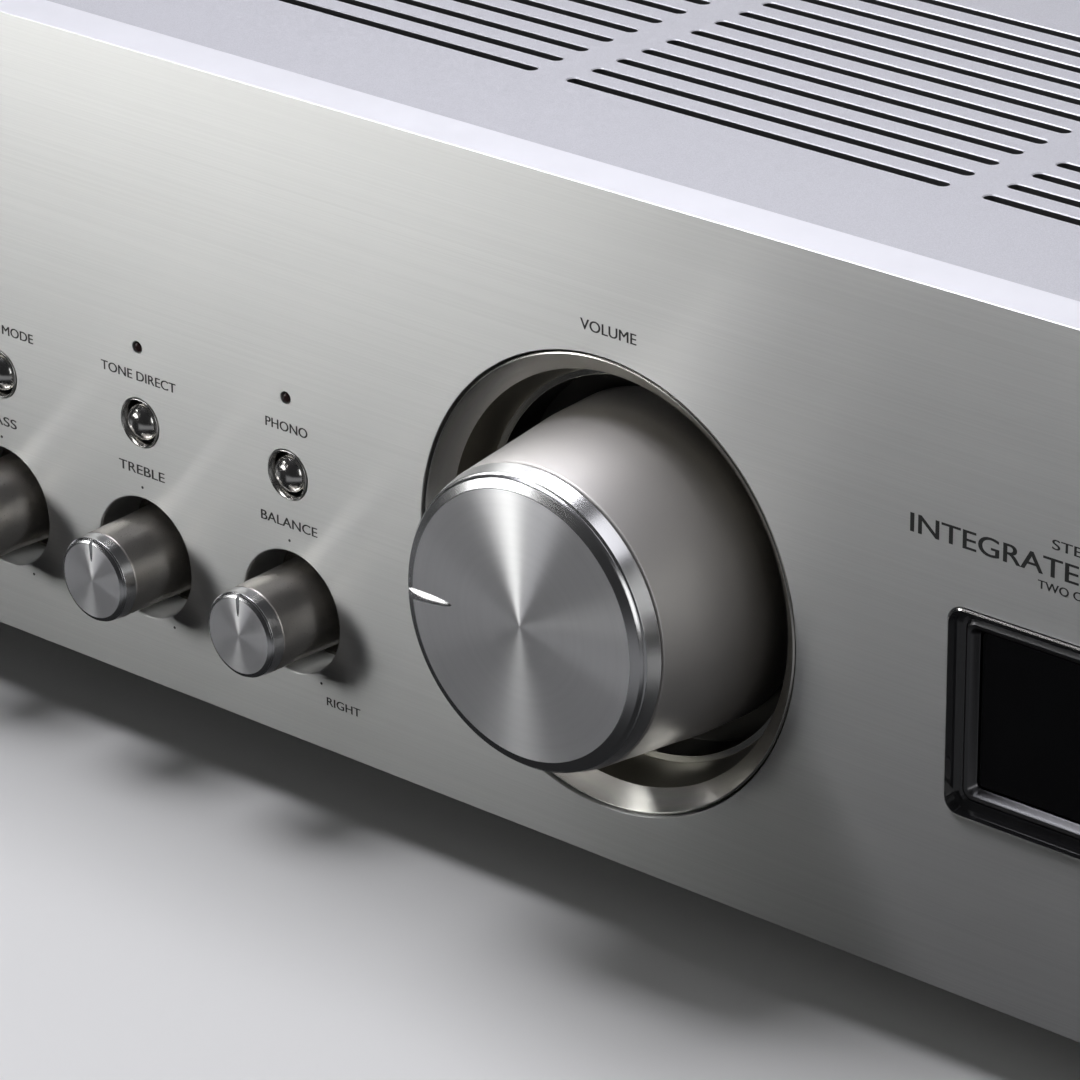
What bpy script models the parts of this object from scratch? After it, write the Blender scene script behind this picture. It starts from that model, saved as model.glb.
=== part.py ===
"""Integrated stereo amplifier: a sheet-steel case behind a thick aluminium front panel.

Metres, +Z up. The front faces -Y. The origin is the middle of the footprint, on the surface that the feet
stand on. Each object is one piece of the real thing. A piece that turns has its origin on its axis, and a
piece that slides has its origin on the line along which it slides.

Controls and their fittings are modelled in panel coordinates: their origin lies on the panel's front plane,
so that a local y is a depth behind that plane. Round pieces are spun from a profile of (radius, depth).
"""

import math

import bmesh
import bpy
from mathutils import Matrix

MM = 0.001

# Overall size
WIDTH = 434 * MM
HEIGHT = 135 * MM
DEPTH = 410 * MM

# Case
GAP = 0.3 * MM
SHEET = 1.2 * MM
FOOT_HEIGHT = 15.7 * MM
FOOT_RADIUS = 22 * MM
FOOT_X = 165 * MM
FOOT_FRONT_Y = -135 * MM
FOOT_REAR_Y = 125 * MM
PANEL_BOTTOM = 14 * MM
PANEL_THICK = 9.6 * MM
PANEL_EDGE = 0.3 * MM
KNOB_REACH = 21.1 * MM
PANEL_FRONT = KNOB_REACH - DEPTH / 2
PANEL_BACK = PANEL_FRONT + PANEL_THICK
COVER_HALF_WIDTH = 215 * MM
COVER_TOP = 134.4 * MM
COVER_BOTTOM = 17.8 * MM
COVER_BACK = 178.2 * MM
BASE_BOTTOM = FOOT_HEIGHT + GAP
BASE_TOP = BASE_BOTTOM + SHEET
BASE_LIP = 30 * MM
INNER_HALF_WIDTH = COVER_HALF_WIDTH - SHEET - GAP
REAR_FACE = 177 * MM

# Vent slots in the cover: rows run across, and count back from the front panel
SLOT_WIDTH = 2.4 * MM
SLOT_LENGTH = 81.4 * MM
SLOT_COLUMN_PITCH = SLOT_LENGTH + 7.3 * MM
SLOT_ROW_PITCH = 6.6 * MM
SLOT_FIRST_ROW = PANEL_FRONT + 38.6 * MM
SLOT_COLUMNS = (-1, 0, 1)
SLOT_ROWS = 12

# Places of the controls, as X and as height above the volume axis
VOLUME_Z = 64.7 * MM
TONE_X = {"bass": -145.1 * MM, "treble": -108.8 * MM, "balance": -72.5 * MM}
BUTTON_X = {"mode": -145.1 * MM, "direct": -108.8 * MM, "phono": -72.5 * MM}
TONE_DROP = -26.2 * MM
INDICATOR_RISE = 14.5 * MM
POWER_X = -190 * MM
PHONES_DROP = -26.2 * MM
INPUT_X = 165 * MM
DISPLAY_LEFT = 71.65 * MM
DISPLAY_RIGHT = 124.05 * MM
DISPLAY_LOW = -18.4 * MM
DISPLAY_HIGH = 18.0 * MM
WINDOW_INSET = 4.3 * MM

# Volume control
RECESS_RADIUS = 41 * MM
RECESS_RING_RADIUS = 40.6 * MM
RECESS_BEVEL_RADIUS = 36.8 * MM
RECESS_BEVEL_DEPTH = 3.2 * MM
RECESS_INNER_RADIUS = 34.9 * MM
RECESS_STEP_DEPTH = 10.3 * MM
CUP_RADIUS = 33.7 * MM
CUP_WALL = 0.8 * MM
CUP_DEPTH = 18 * MM
KNOB_FACE_RADIUS = 23.8 * MM
KNOB_BASE_RADIUS = 29.9 * MM
KNOB_BASE_DEPTH = 16.4 * MM
KNOB_SPLIT_DEPTH = -16.6 * MM
POINTER_DEEP = 1.3 * MM
POINTER_SLOPE = 0.85
VOLUME_POINTER_START = 15 * MM
VOLUME_POINTER_DEG = -92.5
SHAFT_RADIUS = 3 * MM
SHAFT_BORE = 3.2 * MM
INPUT_SCALE = 24 / 41
INPUT_REACH = 15 * MM

# Gear train between the volume shaft and its motor
MODULE = 0.9 * MM
GEAR_TEETH = 40
PINION_TEETH = 16
BACKLASH = 0.16 * MM
PRESSURE_ANGLE = math.radians(20)
MOTOR_OFFSET = MODULE * (GEAR_TEETH + PINION_TEETH) / 2
GEAR_FRONT = 24 * MM
GEAR_BACK = 27.4 * MM

# Tone controls
TONE_RECESS = 12 * MM
TONE_CUP_RADIUS = 11.2 * MM
TONE_CUP_DEPTH = 14 * MM
TONE_REACH = 13.4 * MM
TONE_FACE_RADIUS = 7.1 * MM
TONE_BODY_RADIUS = 8.3 * MM
TONE_BASE_DEPTH = 12 * MM
BOARD_DEPTH = 19.9 * MM
BOARD_THICK = 1.6 * MM

# Buttons
BEZEL_RADIUS = 4.6 * MM
BEZEL_BORE = 3.9 * MM
BUTTON_RADIUS = 3.6 * MM
BUTTON_STEM = 1.8 * MM
BUTTON_END = 13.4 * MM
BUTTON_TRAVEL = 1.5 * MM
POWER_RADIUS = 7.4 * MM
POWER_END = 14.2 * MM
POWER_TRAVEL = 3 * MM

# Rear fittings
JACK_COLUMNS = 6
JACK_PITCH = 18 * MM
JACK_FIRST_X = -112 * MM
JACK_ROWS_Z = (88 * MM, 110 * MM)
GROUND_X = -131 * MM
TERMINAL_X = (70 * MM, 105 * MM, 135 * MM, 170 * MM)
TERMINAL_Z = 82.5 * MM
INLET_X = -170 * MM
INLET_Z = 50 * MM

# Finishes: colour, roughness, metallic
FINISHES = {
    "panel": ((0.60, 0.59, 0.57), 0.32, 1.0),
    "satin": ((0.66, 0.63, 0.58), 0.34, 1.0),
    "spun": ((0.62, 0.62, 0.62), 0.26, 1.0),
    "polished": ((0.80, 0.79, 0.77), 0.08, 1.0),
    "cover": ((0.56, 0.56, 0.60), 0.42, 0.6),
    "steel": ((0.55, 0.55, 0.54), 0.38, 1.0),
    "black_metal": ((0.03, 0.03, 0.032), 0.30, 0.6),
    "black_plastic": ((0.02, 0.02, 0.02), 0.45, 0.0),
    "dark_glass": ((0.004, 0.004, 0.005), 0.05, 0.0),
    "lamp": ((0.09, 0.03, 0.03), 0.20, 0.0),
    "rubber": ((0.03, 0.03, 0.03), 0.80, 0.0),
    "board": ((0.02, 0.10, 0.05), 0.50, 0.0),
    "copper_can": ((0.45, 0.42, 0.38), 0.35, 0.9),
    "sleeve": ((0.03, 0.04, 0.10), 0.35, 0.0),
    "black_fins": ((0.05, 0.05, 0.052), 0.50, 0.8),
    "brass": ((0.72, 0.56, 0.30), 0.28, 1.0),
}


# --- Modelling tools -------------------------------------------------------------------------------------


def clear_scene():
    for obj in list(bpy.data.objects):
        bpy.data.objects.remove(obj, do_unlink=True)


def material(name, finish):
    """A material of its own for one piece."""
    colour, roughness, metallic = FINISHES[finish]
    made = bpy.data.materials.new(f"{name}_{finish}")
    made.use_nodes = True
    shader = made.node_tree.nodes["Principled BSDF"]
    shader.inputs["Base Color"].default_value = (*colour, 1)
    shader.inputs["Roughness"].default_value = roughness
    shader.inputs["Metallic"].default_value = metallic
    made.diffuse_color = (*colour, 1)
    return made


def as_object(name, shape, place):
    mesh = bpy.data.meshes.new(name)
    shape.to_mesh(mesh)
    shape.free()
    obj = bpy.data.objects.new(name, mesh)
    obj.location = place
    bpy.context.scene.collection.objects.link(obj)
    return obj


def piece(name, shape, finish, place=(0, 0, 0)):
    """A visible piece, shaded smooth across its round faces."""
    obj = as_object(name, shape, place)
    obj.data.shade_smooth()
    obj.data.set_sharp_from_angle(angle=math.radians(30))
    obj.data.materials.append(material(name, finish))
    return obj


def boolean(obj, name, shapes, operation):
    """Joins the shapes to a piece, or cuts them from it, through one hidden helper in its coordinates."""
    helper = as_object(f"{obj.name}_{name}", together(shapes), obj.location)
    helper.hide_render = True
    helper.display_type = "WIRE"
    modifier = obj.modifiers.new(name, "BOOLEAN")
    modifier.operation = operation
    modifier.solver = "EXACT"
    modifier.object = helper


def cut(obj, name, *shapes):
    boolean(obj, name, shapes, "DIFFERENCE")


def join(obj, name, *shapes):
    boolean(obj, name, shapes, "UNION")


def together(shapes):
    """One bmesh that holds several separate shapes."""
    whole = bmesh.new()
    for shape in shapes:
        mesh = bpy.data.meshes.new("shape")
        shape.to_mesh(mesh)
        shape.free()
        whole.from_mesh(mesh)
        bpy.data.meshes.remove(mesh)
    return whole


def spun(profile, segments=32):
    """A solid of revolution about local Y. A profile that starts and ends on the axis needs no inner wall."""
    shape = bmesh.new()
    points = [shape.verts.new((radius, depth, 0)) for radius, depth in profile]
    edges = [shape.edges.new(pair) for pair in zip(points, points[1:])]
    if profile[0][0] > 0:
        edges.append(shape.edges.new((points[-1], points[0])))
    bmesh.ops.spin(
        shape,
        geom=points + edges,
        cent=(0, 0, 0),
        axis=(0, 1, 0),
        angle=2 * math.pi,
        steps=segments,
        use_merge=True,
    )
    bmesh.ops.remove_doubles(shape, verts=shape.verts, dist=0.001 * MM)
    bmesh.ops.recalc_face_normals(shape, faces=shape.faces)
    return shape


def disc(radius, front, back, segments=32):
    return spun([(0, front), (radius, front), (radius, back), (0, back)], segments)


def upright(shape):
    """Stands a spun shape up, so that its depth becomes a height."""
    shape.transform(Matrix.Rotation(math.radians(90), 4, "X"))
    return shape


def moved(shape, x=0, y=0, z=0):
    shape.transform(Matrix.Translation((x, y, z)))
    return shape


def prism(outline, front, back):
    """An outline of (x, z) points, extruded from one depth to another."""
    shape = bmesh.new()
    face = shape.faces.new([shape.verts.new((x, front, z)) for x, z in outline])
    wall = bmesh.ops.extrude_face_region(shape, geom=[face])
    top = [item for item in wall["geom"] if isinstance(item, bmesh.types.BMVert)]
    bmesh.ops.translate(shape, verts=top, vec=(0, back - front, 0))
    bmesh.ops.recalc_face_normals(shape, faces=shape.faces)
    return shape


def standing(outline, low, high):
    """An outline of (x, y) points, extruded from one height to another."""
    shape = prism(outline, -high, -low)
    shape.transform(Matrix.Rotation(math.radians(-90), 4, "X"))
    return shape


def block(x, y, z):
    """A box between the pairs x, y and z."""
    outline = [(x[0], z[0]), (x[1], z[0]), (x[1], z[1]), (x[0], z[1])]
    return prism(outline, y[0], y[1])


def rounded_outline(x, z, radius, steps=4):
    """The (x, z) outline of a rectangle with rounded corners."""
    outline = []
    corners = ((x[1], z[1], 0), (x[0], z[1], 90), (x[0], z[0], 180), (x[1], z[0], 270))
    for corner_x, corner_z, start in corners:
        inward_x = corner_x - math.copysign(radius, corner_x - sum(x) / 2)
        inward_z = corner_z - math.copysign(radius, corner_z - sum(z) / 2)
        for step in range(steps + 1):
            angle = math.radians(start + 90 * step / steps)
            outline.append((inward_x + radius * math.cos(angle), inward_z + radius * math.sin(angle)))
    return outline


def slot_outline(start, end, middle, width):
    """A slot along X whose ends come to a blunt point."""
    half = width / 2
    return [
        (start, middle),
        (start + half, middle - half),
        (end - half, middle - half),
        (end, middle),
        (end - half, middle + half),
        (start + half, middle + half),
    ]


def at_volume(x=0, rise=0):
    """A place on the panel's front plane, by X and by height above the volume axis."""
    return (x, PANEL_FRONT, VOLUME_Z + rise)


# --- Case ------------------------------------------------------------------------------------------------


def chassis_base():
    front = PANEL_BACK + 2 * GAP + SHEET
    back = REAR_FACE - SHEET - GAP
    wide = INNER_HALF_WIDTH
    outline = [
        (-wide, BASE_BOTTOM),
        (wide, BASE_BOTTOM),
        (wide, BASE_LIP),
        (wide - SHEET, BASE_LIP),
        (wide - SHEET, BASE_TOP),
        (SHEET - wide, BASE_TOP),
        (SHEET - wide, BASE_LIP),
        (-wide, BASE_LIP),
    ]
    base = piece("chassis_base", prism(outline, front, back), "steel")
    slots = []
    for row in range(7):
        y = (-75 + 12 * row) * MM
        slots.append(block((40 * MM, 120 * MM), (y, y + 3 * MM), (BASE_BOTTOM - SHEET, BASE_TOP + SHEET)))
    cut(base, "vents", *slots)


def foot(name, x, y):
    """A moulded foot with a rubber sole, one piece."""
    radius = FOOT_RADIUS
    profile = [
        (0, 0),
        (radius - 3 * MM, 0),
        (radius - 1.2 * MM, 3 * MM),
        (radius, 4 * MM),
        (radius - 1 * MM, FOOT_HEIGHT),
        (0, FOOT_HEIGHT),
    ]
    piece(name, upright(spun(profile, 20)), "rubber", (x, y, 0))


def feet():
    for side, x in (("left", -FOOT_X), ("right", FOOT_X)):
        foot(f"foot_front_{side}", x, FOOT_FRONT_Y)
        foot(f"foot_rear_{side}", x, FOOT_REAR_Y)


def top_cover():
    """Top and both sides in one folded sheet."""
    out = COVER_HALF_WIDTH
    inner = COVER_HALF_WIDTH - SHEET
    bend = 1.5 * MM
    outline = [
        (-out, COVER_BOTTOM),
        (SHEET - out, COVER_BOTTOM),
        (-inner, COVER_TOP - SHEET),
        (inner, COVER_TOP - SHEET),
        (inner, COVER_BOTTOM),
        (out, COVER_BOTTOM),
        (out, COVER_TOP - bend),
        (out - 0.3 * bend, COVER_TOP - 0.3 * bend),
        (out - bend, COVER_TOP),
        (bend - out, COVER_TOP),
        (0.3 * bend - out, COVER_TOP - 0.3 * bend),
        (-out, COVER_TOP - bend),
    ]
    cover = piece("top_cover", prism(outline, PANEL_BACK + GAP, COVER_BACK), "cover")
    slots = []
    for column in SLOT_COLUMNS:
        start = column * SLOT_COLUMN_PITCH - SLOT_LENGTH / 2
        for row in range(SLOT_ROWS):
            middle = SLOT_FIRST_ROW + row * SLOT_ROW_PITCH
            outline = slot_outline(start, start + SLOT_LENGTH, middle, SLOT_WIDTH)
            slots.append(standing(outline, COVER_TOP - 2 * SHEET, COVER_TOP + SHEET))
    cut(cover, "vents", *slots)


def sub_front_plate():
    """The steel plate behind the front panel, with a way through for each control."""
    z = (COVER_BOTTOM, COVER_TOP - SHEET - 2 * GAP)
    plate = block((-INNER_HALF_WIDTH, INNER_HALF_WIDTH), (PANEL_BACK + GAP, PANEL_BACK + GAP + SHEET), z)
    obj = piece("sub_front_plate", plate, "steel")
    y = PANEL_BACK - SHEET, PANEL_BACK + 3 * SHEET

    def hole(radius, x, rise, segments=24):
        return moved(disc(radius, y[0], y[1], segments), x, 0, VOLUME_Z + rise)

    def window(x_low, x_high, low, high):
        return block((x_low, x_high), y, (VOLUME_Z + low, VOLUME_Z + high))

    edge = TONE_CUP_RADIUS + 4 * MM + 2 * GAP
    holes = [hole(36.8 * MM, 0, 0, 40), hole(22.3 * MM, INPUT_X, 0, 28)]
    holes += [hole(3 * MM, x, 0, 12) for x in BUTTON_X.values()]
    holes += [hole(2 * MM, x, INDICATOR_RISE, 10) for x in BUTTON_X.values()]
    holes += [hole(5 * MM, POWER_X, 0, 16), hole(6 * MM, POWER_X, PHONES_DROP, 16)]
    holes.append(window(TONE_X["bass"] - edge, TONE_X["balance"] + edge, TONE_DROP - edge, TONE_DROP + edge))
    inset = 2 * MM
    x = (DISPLAY_LEFT + inset, DISPLAY_RIGHT - inset)
    holes.append(window(*x, DISPLAY_LOW + inset, DISPLAY_HIGH - inset))
    cut(obj, "openings", *holes)


def rear_panel():
    z = (COVER_BOTTOM, COVER_TOP - SHEET - 2 * GAP)
    plate = block((-INNER_HALF_WIDTH, INNER_HALF_WIDTH), (REAR_FACE - SHEET, REAR_FACE), z)
    obj = piece("rear_panel", plate, "black_metal")
    y = REAR_FACE - 3 * SHEET, REAR_FACE + 3 * SHEET
    jacks = block((-121 * MM, -13 * MM), y, (77 * MM, 118 * MM))
    inlet = block((INLET_X - 14.4 * MM, INLET_X + 14.4 * MM), y, (INLET_Z - 10.9 * MM, INLET_Z + 10.9 * MM))
    posts = block((55 * MM, 185 * MM), y, (TERMINAL_Z - 16 * MM, TERMINAL_Z + 16 * MM))
    cut(obj, "openings", jacks, inlet, posts)


# --- Front panel -----------------------------------------------------------------------------------------


def panel_outline(inset):
    x = WIDTH / 2 - inset
    return [
        (-x, PANEL_BOTTOM + inset),
        (x, PANEL_BOTTOM + inset),
        (x, HEIGHT - inset),
        (-x, HEIGHT - inset),
    ]


def stacked(outlines):
    """A solid through a row of (depth, outline) sections with equal numbers of points."""
    shape = bmesh.new()
    rings = [[shape.verts.new((x, depth, z)) for x, z in outline] for depth, outline in outlines]
    count = len(rings[0])
    for ring, following in zip(rings, rings[1:]):
        for at in range(count):
            after = (at + 1) % count
            shape.faces.new((ring[at], ring[after], following[after], following[at]))
    shape.faces.new(rings[0])
    shape.faces.new(rings[-1])
    bmesh.ops.recalc_face_normals(shape, faces=shape.faces)
    return shape


def small_cutter(radius, chamfer, segments):
    """A hole through the panel with a small chamfer at its mouth."""
    return spun(
        [
            (0, -2 * MM),
            (radius + chamfer, -2 * MM),
            (radius + chamfer, 0),
            (radius, chamfer),
            (radius, PANEL_THICK + 2 * MM),
            (0, PANEL_THICK + 2 * MM),
        ],
        segments,
    )


def front_panel():
    sections = [
        (PANEL_FRONT, panel_outline(PANEL_EDGE)),
        (PANEL_FRONT + PANEL_EDGE, panel_outline(0)),
        (PANEL_BACK, panel_outline(0)),
    ]
    panel = piece("front_panel", stacked(sections), "panel")
    cutters = [
        moved(small_cutter(RECESS_RADIUS, 0.3 * MM, 48), *at_volume()),
        moved(small_cutter(RECESS_RADIUS * INPUT_SCALE, 0.3 * MM, 32), *at_volume(INPUT_X)),
    ]
    for x in TONE_X.values():
        cutters.append(moved(small_cutter(TONE_RECESS - 0.5 * MM, 0.5 * MM, 20), *at_volume(x, TONE_DROP)))
    for x in BUTTON_X.values():
        cutters.append(moved(small_cutter(BEZEL_RADIUS + GAP, 0.1 * MM, 12), *at_volume(x)))
        cutters.append(moved(disc(1.3 * MM, -2 * MM, PANEL_THICK + 2 * MM, 8), *at_volume(x, INDICATOR_RISE)))
    cutters.append(moved(small_cutter(9.3 * MM, 0.2 * MM, 20), *at_volume(POWER_X)))
    cutters.append(moved(small_cutter(5.8 * MM, 0.2 * MM, 16), *at_volume(POWER_X, PHONES_DROP)))
    x = (DISPLAY_LEFT - GAP, DISPLAY_RIGHT + GAP)
    z = (VOLUME_Z + DISPLAY_LOW - GAP, VOLUME_Z + DISPLAY_HIGH + GAP)
    cutters.append(prism(rounded_outline(x, z, 3 * MM), PANEL_FRONT - 2 * MM, PANEL_BACK + 2 * MM))
    cut(panel, "openings", *cutters)


def recess_cup(name, x, scale, segments):
    """The turned cup that lines a large recess: a bevelled ring in the panel's bore, a step and a well."""
    ring = RECESS_RING_RADIUS * scale
    collar = RECESS_INNER_RADIUS * scale + 1.1 * MM
    well = CUP_RADIUS * scale
    profile = [
        (ring - 0.5 * MM, 0.15 * MM),
        (ring, 0.35 * MM),
        (ring, PANEL_THICK - GAP),
        (collar, PANEL_THICK - GAP),
        (collar, RECESS_STEP_DEPTH + SHEET),
        (well + CUP_WALL, RECESS_STEP_DEPTH + SHEET),
        (well + CUP_WALL, CUP_DEPTH + SHEET),
        (5 * MM, CUP_DEPTH + SHEET),
        (5 * MM, CUP_DEPTH),
        (well, CUP_DEPTH),
        (well, RECESS_STEP_DEPTH),
        (RECESS_INNER_RADIUS * scale, RECESS_STEP_DEPTH),
        (RECESS_BEVEL_RADIUS * scale, RECESS_BEVEL_DEPTH * scale),
    ]
    piece(name, spun(profile, segments), "satin", at_volume(x))


def tone_recess_strip():
    """One moulded strip with the three cups that the tone knobs turn in."""
    edge = TONE_CUP_RADIUS + 4 * MM
    rim = PANEL_THICK + GAP
    middle = TONE_X["treble"]
    x = (TONE_X["bass"] - edge - middle, TONE_X["balance"] + edge - middle)
    plate = block(x, (rim, rim + CUP_WALL), (-edge, edge))
    strip = piece("tone_recess_strip", plate, "satin", at_volume(middle, TONE_DROP))
    outsides = []
    wells = []
    for tone_x in TONE_X.values():
        outer = disc(TONE_CUP_RADIUS + CUP_WALL, rim + 0.4 * CUP_WALL, TONE_CUP_DEPTH + SHEET, 20)
        outsides.append(moved(outer, tone_x - middle))
        well = spun(
            [
                (0, rim - 1 * MM),
                (TONE_CUP_RADIUS, rim - 1 * MM),
                (TONE_CUP_RADIUS, TONE_CUP_DEPTH),
                (4.2 * MM, TONE_CUP_DEPTH),
                (4.2 * MM, TONE_CUP_DEPTH + 2 * SHEET),
                (0, TONE_CUP_DEPTH + 2 * SHEET),
            ],
            20,
        )
        wells.append(moved(well, tone_x - middle))
    join(strip, "cups", *outsides)
    cut(strip, "wells", *wells)


# --- Display ---------------------------------------------------------------------------------------------


def display_ring(inset, radius):
    x = (DISPLAY_LEFT + inset, DISPLAY_RIGHT - inset)
    z = (DISPLAY_LOW + inset, DISPLAY_HIGH - inset)
    return rounded_outline(x, z, radius)


def display_frame():
    """A rounded frame whose inner faces slope down to the window."""
    outer = [(-0.5 * MM, display_ring(0.5 * MM, 2.5 * MM)), (0, display_ring(0, 3 * MM))]
    outer.append((PANEL_THICK - 1 * MM, display_ring(0, 3 * MM)))
    frame = piece("display_frame", stacked(outer), "black_metal", at_volume())
    well = [
        (-1.5 * MM, display_ring(1.0 * MM, 2.2 * MM)),
        (-0.5 * MM, display_ring(1.0 * MM, 2.2 * MM)),
        (2.3 * MM, display_ring(WINDOW_INSET, 1 * MM)),
        (PANEL_THICK, display_ring(WINDOW_INSET, 1 * MM)),
    ]
    cut(frame, "well", stacked(well))


def display_window():
    inset = WINDOW_INSET + GAP
    glass = prism(display_ring(inset, 0.8 * MM), 3 * MM, 4.5 * MM)
    piece("display_window", glass, "dark_glass", at_volume())


def display_module():
    """The display itself and the board that it is soldered to."""
    inset = WINDOW_INSET + 2 * GAP
    face = prism(display_ring(inset, 0.8 * MM), 5 * MM, 15 * MM)
    module = piece("display_module", face, "black_plastic", at_volume())
    x = (DISPLAY_LEFT - 4 * MM, DISPLAY_RIGHT + 4 * MM)
    z = (DISPLAY_LOW - 4 * MM, DISPLAY_HIGH + 4 * MM)
    join(module, "board", block(x, (14.5 * MM, 16.1 * MM), z))


# --- Knobs and their shafts ------------------------------------------------------------------------------


def pointer_cutter(start, end, front, deep, degrees):
    """A V-shaped groove in a knob's face, at an angle clockwise from the top.

    It fades in from the start radius to its full depth, and runs out past the rim.
    """
    lead = 1 * MM
    reach = end - start
    sections = []
    for along, share in ((-0.06, 0), (0.1, 0.55), (0.3, 0.85), (1, 1)):
        depth = deep * share
        half = POINTER_SLOPE * (depth + lead)
        sections.append((start + along * reach, [(-half, lead), (half, lead), (0, -depth)]))
    groove = stacked(sections)
    groove.transform(Matrix.Rotation(math.radians(90), 4, "X"))
    groove.transform(Matrix.Translation((0, front, 0)))
    groove.transform(Matrix.Rotation(math.radians(degrees), 4, "Y"))
    return groove


def volume_knob_body():
    """A hollow turned knob with a hub for its shaft, behind the bright cap on its front."""
    front = KNOB_SPLIT_DEPTH + GAP
    profile = [
        (0, front),
        (27.0 * MM, front),
        (27.9 * MM, 0.45 * front),
        (28.7 * MM, 0),
        (29.5 * MM, 7 * MM),
        (KNOB_BASE_RADIUS, KNOB_BASE_DEPTH),
        (KNOB_BASE_RADIUS - 3.6 * MM, KNOB_BASE_DEPTH),
        (KNOB_BASE_RADIUS - 5.4 * MM, front + 5 * MM),
        (7 * MM, front + 5 * MM),
        (7 * MM, KNOB_BASE_DEPTH - 1.4 * MM),
        (SHAFT_BORE, KNOB_BASE_DEPTH - 1.4 * MM),
        (SHAFT_BORE, front + 3 * MM),
        (0, front + 3 * MM),
    ]
    piece("volume_knob", spun(profile, 36), "satin", at_volume())


def volume_knob_cap():
    """The bright front of the volume knob: a spun face, a polished chamfer and a polished band."""
    profile = [
        (0, -KNOB_REACH),
        (KNOB_FACE_RADIUS, -KNOB_REACH),
        (25.4 * MM, -20.4 * MM),
        (26.0 * MM, -19.8 * MM),
        (26.9 * MM, KNOB_SPLIT_DEPTH),
        (0, KNOB_SPLIT_DEPTH),
    ]
    cap = piece("volume_knob_cap", spun(profile, 36), "spun", at_volume())
    groove = pointer_cutter(VOLUME_POINTER_START, 29 * MM, -KNOB_REACH, POINTER_DEEP, VOLUME_POINTER_DEG)
    cut(cap, "pointer", groove)


def input_knob():
    """The source selector: the volume knob's shape at a smaller size, with its bright face in one piece."""
    scale = INPUT_SCALE
    reach = INPUT_REACH
    base = KNOB_BASE_RADIUS * scale
    profile = [
        (0, -reach),
        (KNOB_FACE_RADIUS * scale, -reach),
        (25.4 * MM * scale, -reach + 0.5 * MM),
        (26.9 * MM * scale, -reach + 3 * MM),
        (28.7 * MM * scale, 0),
        (29.7 * MM * scale, 10 * MM),
        (base, KNOB_BASE_DEPTH),
        (base - 3 * MM, KNOB_BASE_DEPTH),
        (base - 4 * MM, -reach + 6 * MM),
        (6 * MM, -reach + 6 * MM),
        (6 * MM, KNOB_BASE_DEPTH - 1.4 * MM),
        (SHAFT_BORE, KNOB_BASE_DEPTH - 1.4 * MM),
        (SHAFT_BORE, -reach + 4 * MM),
        (0, -reach + 4 * MM),
    ]
    knob = piece("input_knob", spun(profile, 28), "satin", at_volume(INPUT_X))
    cut(knob, "pointer", pointer_cutter(8 * MM, 19 * MM, -reach, 0.9 * MM, 0))


def tone_knob(name, x):
    body = TONE_BODY_RADIUS
    profile = [
        (0, -TONE_REACH),
        (TONE_FACE_RADIUS, -TONE_REACH),
        (body - 0.4 * MM, -TONE_REACH + 0.5 * MM),
        (body - 0.1 * MM, -TONE_REACH + 3 * MM),
        (body, 0),
        (body + 0.5 * MM, TONE_BASE_DEPTH),
        (SHAFT_BORE, TONE_BASE_DEPTH),
        (SHAFT_BORE, -7 * MM),
        (0, -7 * MM),
    ]
    knob = piece(f"{name}_knob", spun(profile, 20), "satin", at_volume(x, TONE_DROP))
    cut(knob, "pointer", pointer_cutter(3.6 * MM, 10 * MM, -TONE_REACH, 0.6 * MM, 0))


def shaft(name, front, back, place):
    piece(name, disc(SHAFT_RADIUS, front, back, 16), "brass", place)


def knobs():
    volume_knob_body()
    volume_knob_cap()
    shaft("volume_shaft", -12 * MM, 41 * MM, at_volume())
    input_knob()
    shaft("input_shaft", -10 * MM, 32 * MM, at_volume(INPUT_X))
    for name, x in TONE_X.items():
        tone_knob(name, x)
        shaft(f"{name}_shaft", -6.5 * MM, 30 * MM, at_volume(x, TONE_DROP))


# --- Volume drive ----------------------------------------------------------------------------------------


def involute(angle):
    return math.tan(angle) - angle


def gear_outline(teeth, phase):
    """An involute spur gear's outline. Each flank has a point at the root, the pitch circle and the tip."""
    pitch = MODULE * teeth / 2
    base = pitch * math.cos(PRESSURE_ANGLE)
    half_tooth = (math.pi * MODULE - BACKLASH) / (4 * pitch) + involute(PRESSURE_ANGLE)
    flank = []
    for radius in (pitch - 1.25 * MODULE, pitch, pitch + MODULE):
        rolled = math.acos(min(1, base / radius))
        flank.append((radius, half_tooth - involute(rolled)))
    outline = []
    for tooth in range(teeth):
        centre = phase + 2 * math.pi * tooth / teeth
        for radius, angle in flank:
            outline.append((radius * math.cos(centre - angle), radius * math.sin(centre - angle)))
        for radius, angle in reversed(flank):
            outline.append((radius * math.cos(centre + angle), radius * math.sin(centre + angle)))
    return outline


def volume_drive_gear():
    teeth = prism(gear_outline(GEAR_TEETH, 0), GEAR_FRONT, GEAR_BACK)
    gear = piece("volume_drive_gear", teeth, "brass", at_volume())
    cut(gear, "bore", disc(SHAFT_BORE, GEAR_FRONT - 1 * MM, GEAR_BACK + 1 * MM, 24))


def motor_pinion():
    """The pinion and the motor's own spindle, one piece."""
    outline = gear_outline(PINION_TEETH, math.pi / PINION_TEETH)
    teeth = prism(outline, GEAR_FRONT - GAP, GEAR_BACK + GAP)
    pinion = piece("motor_pinion", teeth, "brass", at_volume(MOTOR_OFFSET))
    join(pinion, "spindle", disc(1.2 * MM, GEAR_FRONT + 1 * MM, 42 * MM, 12))


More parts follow.
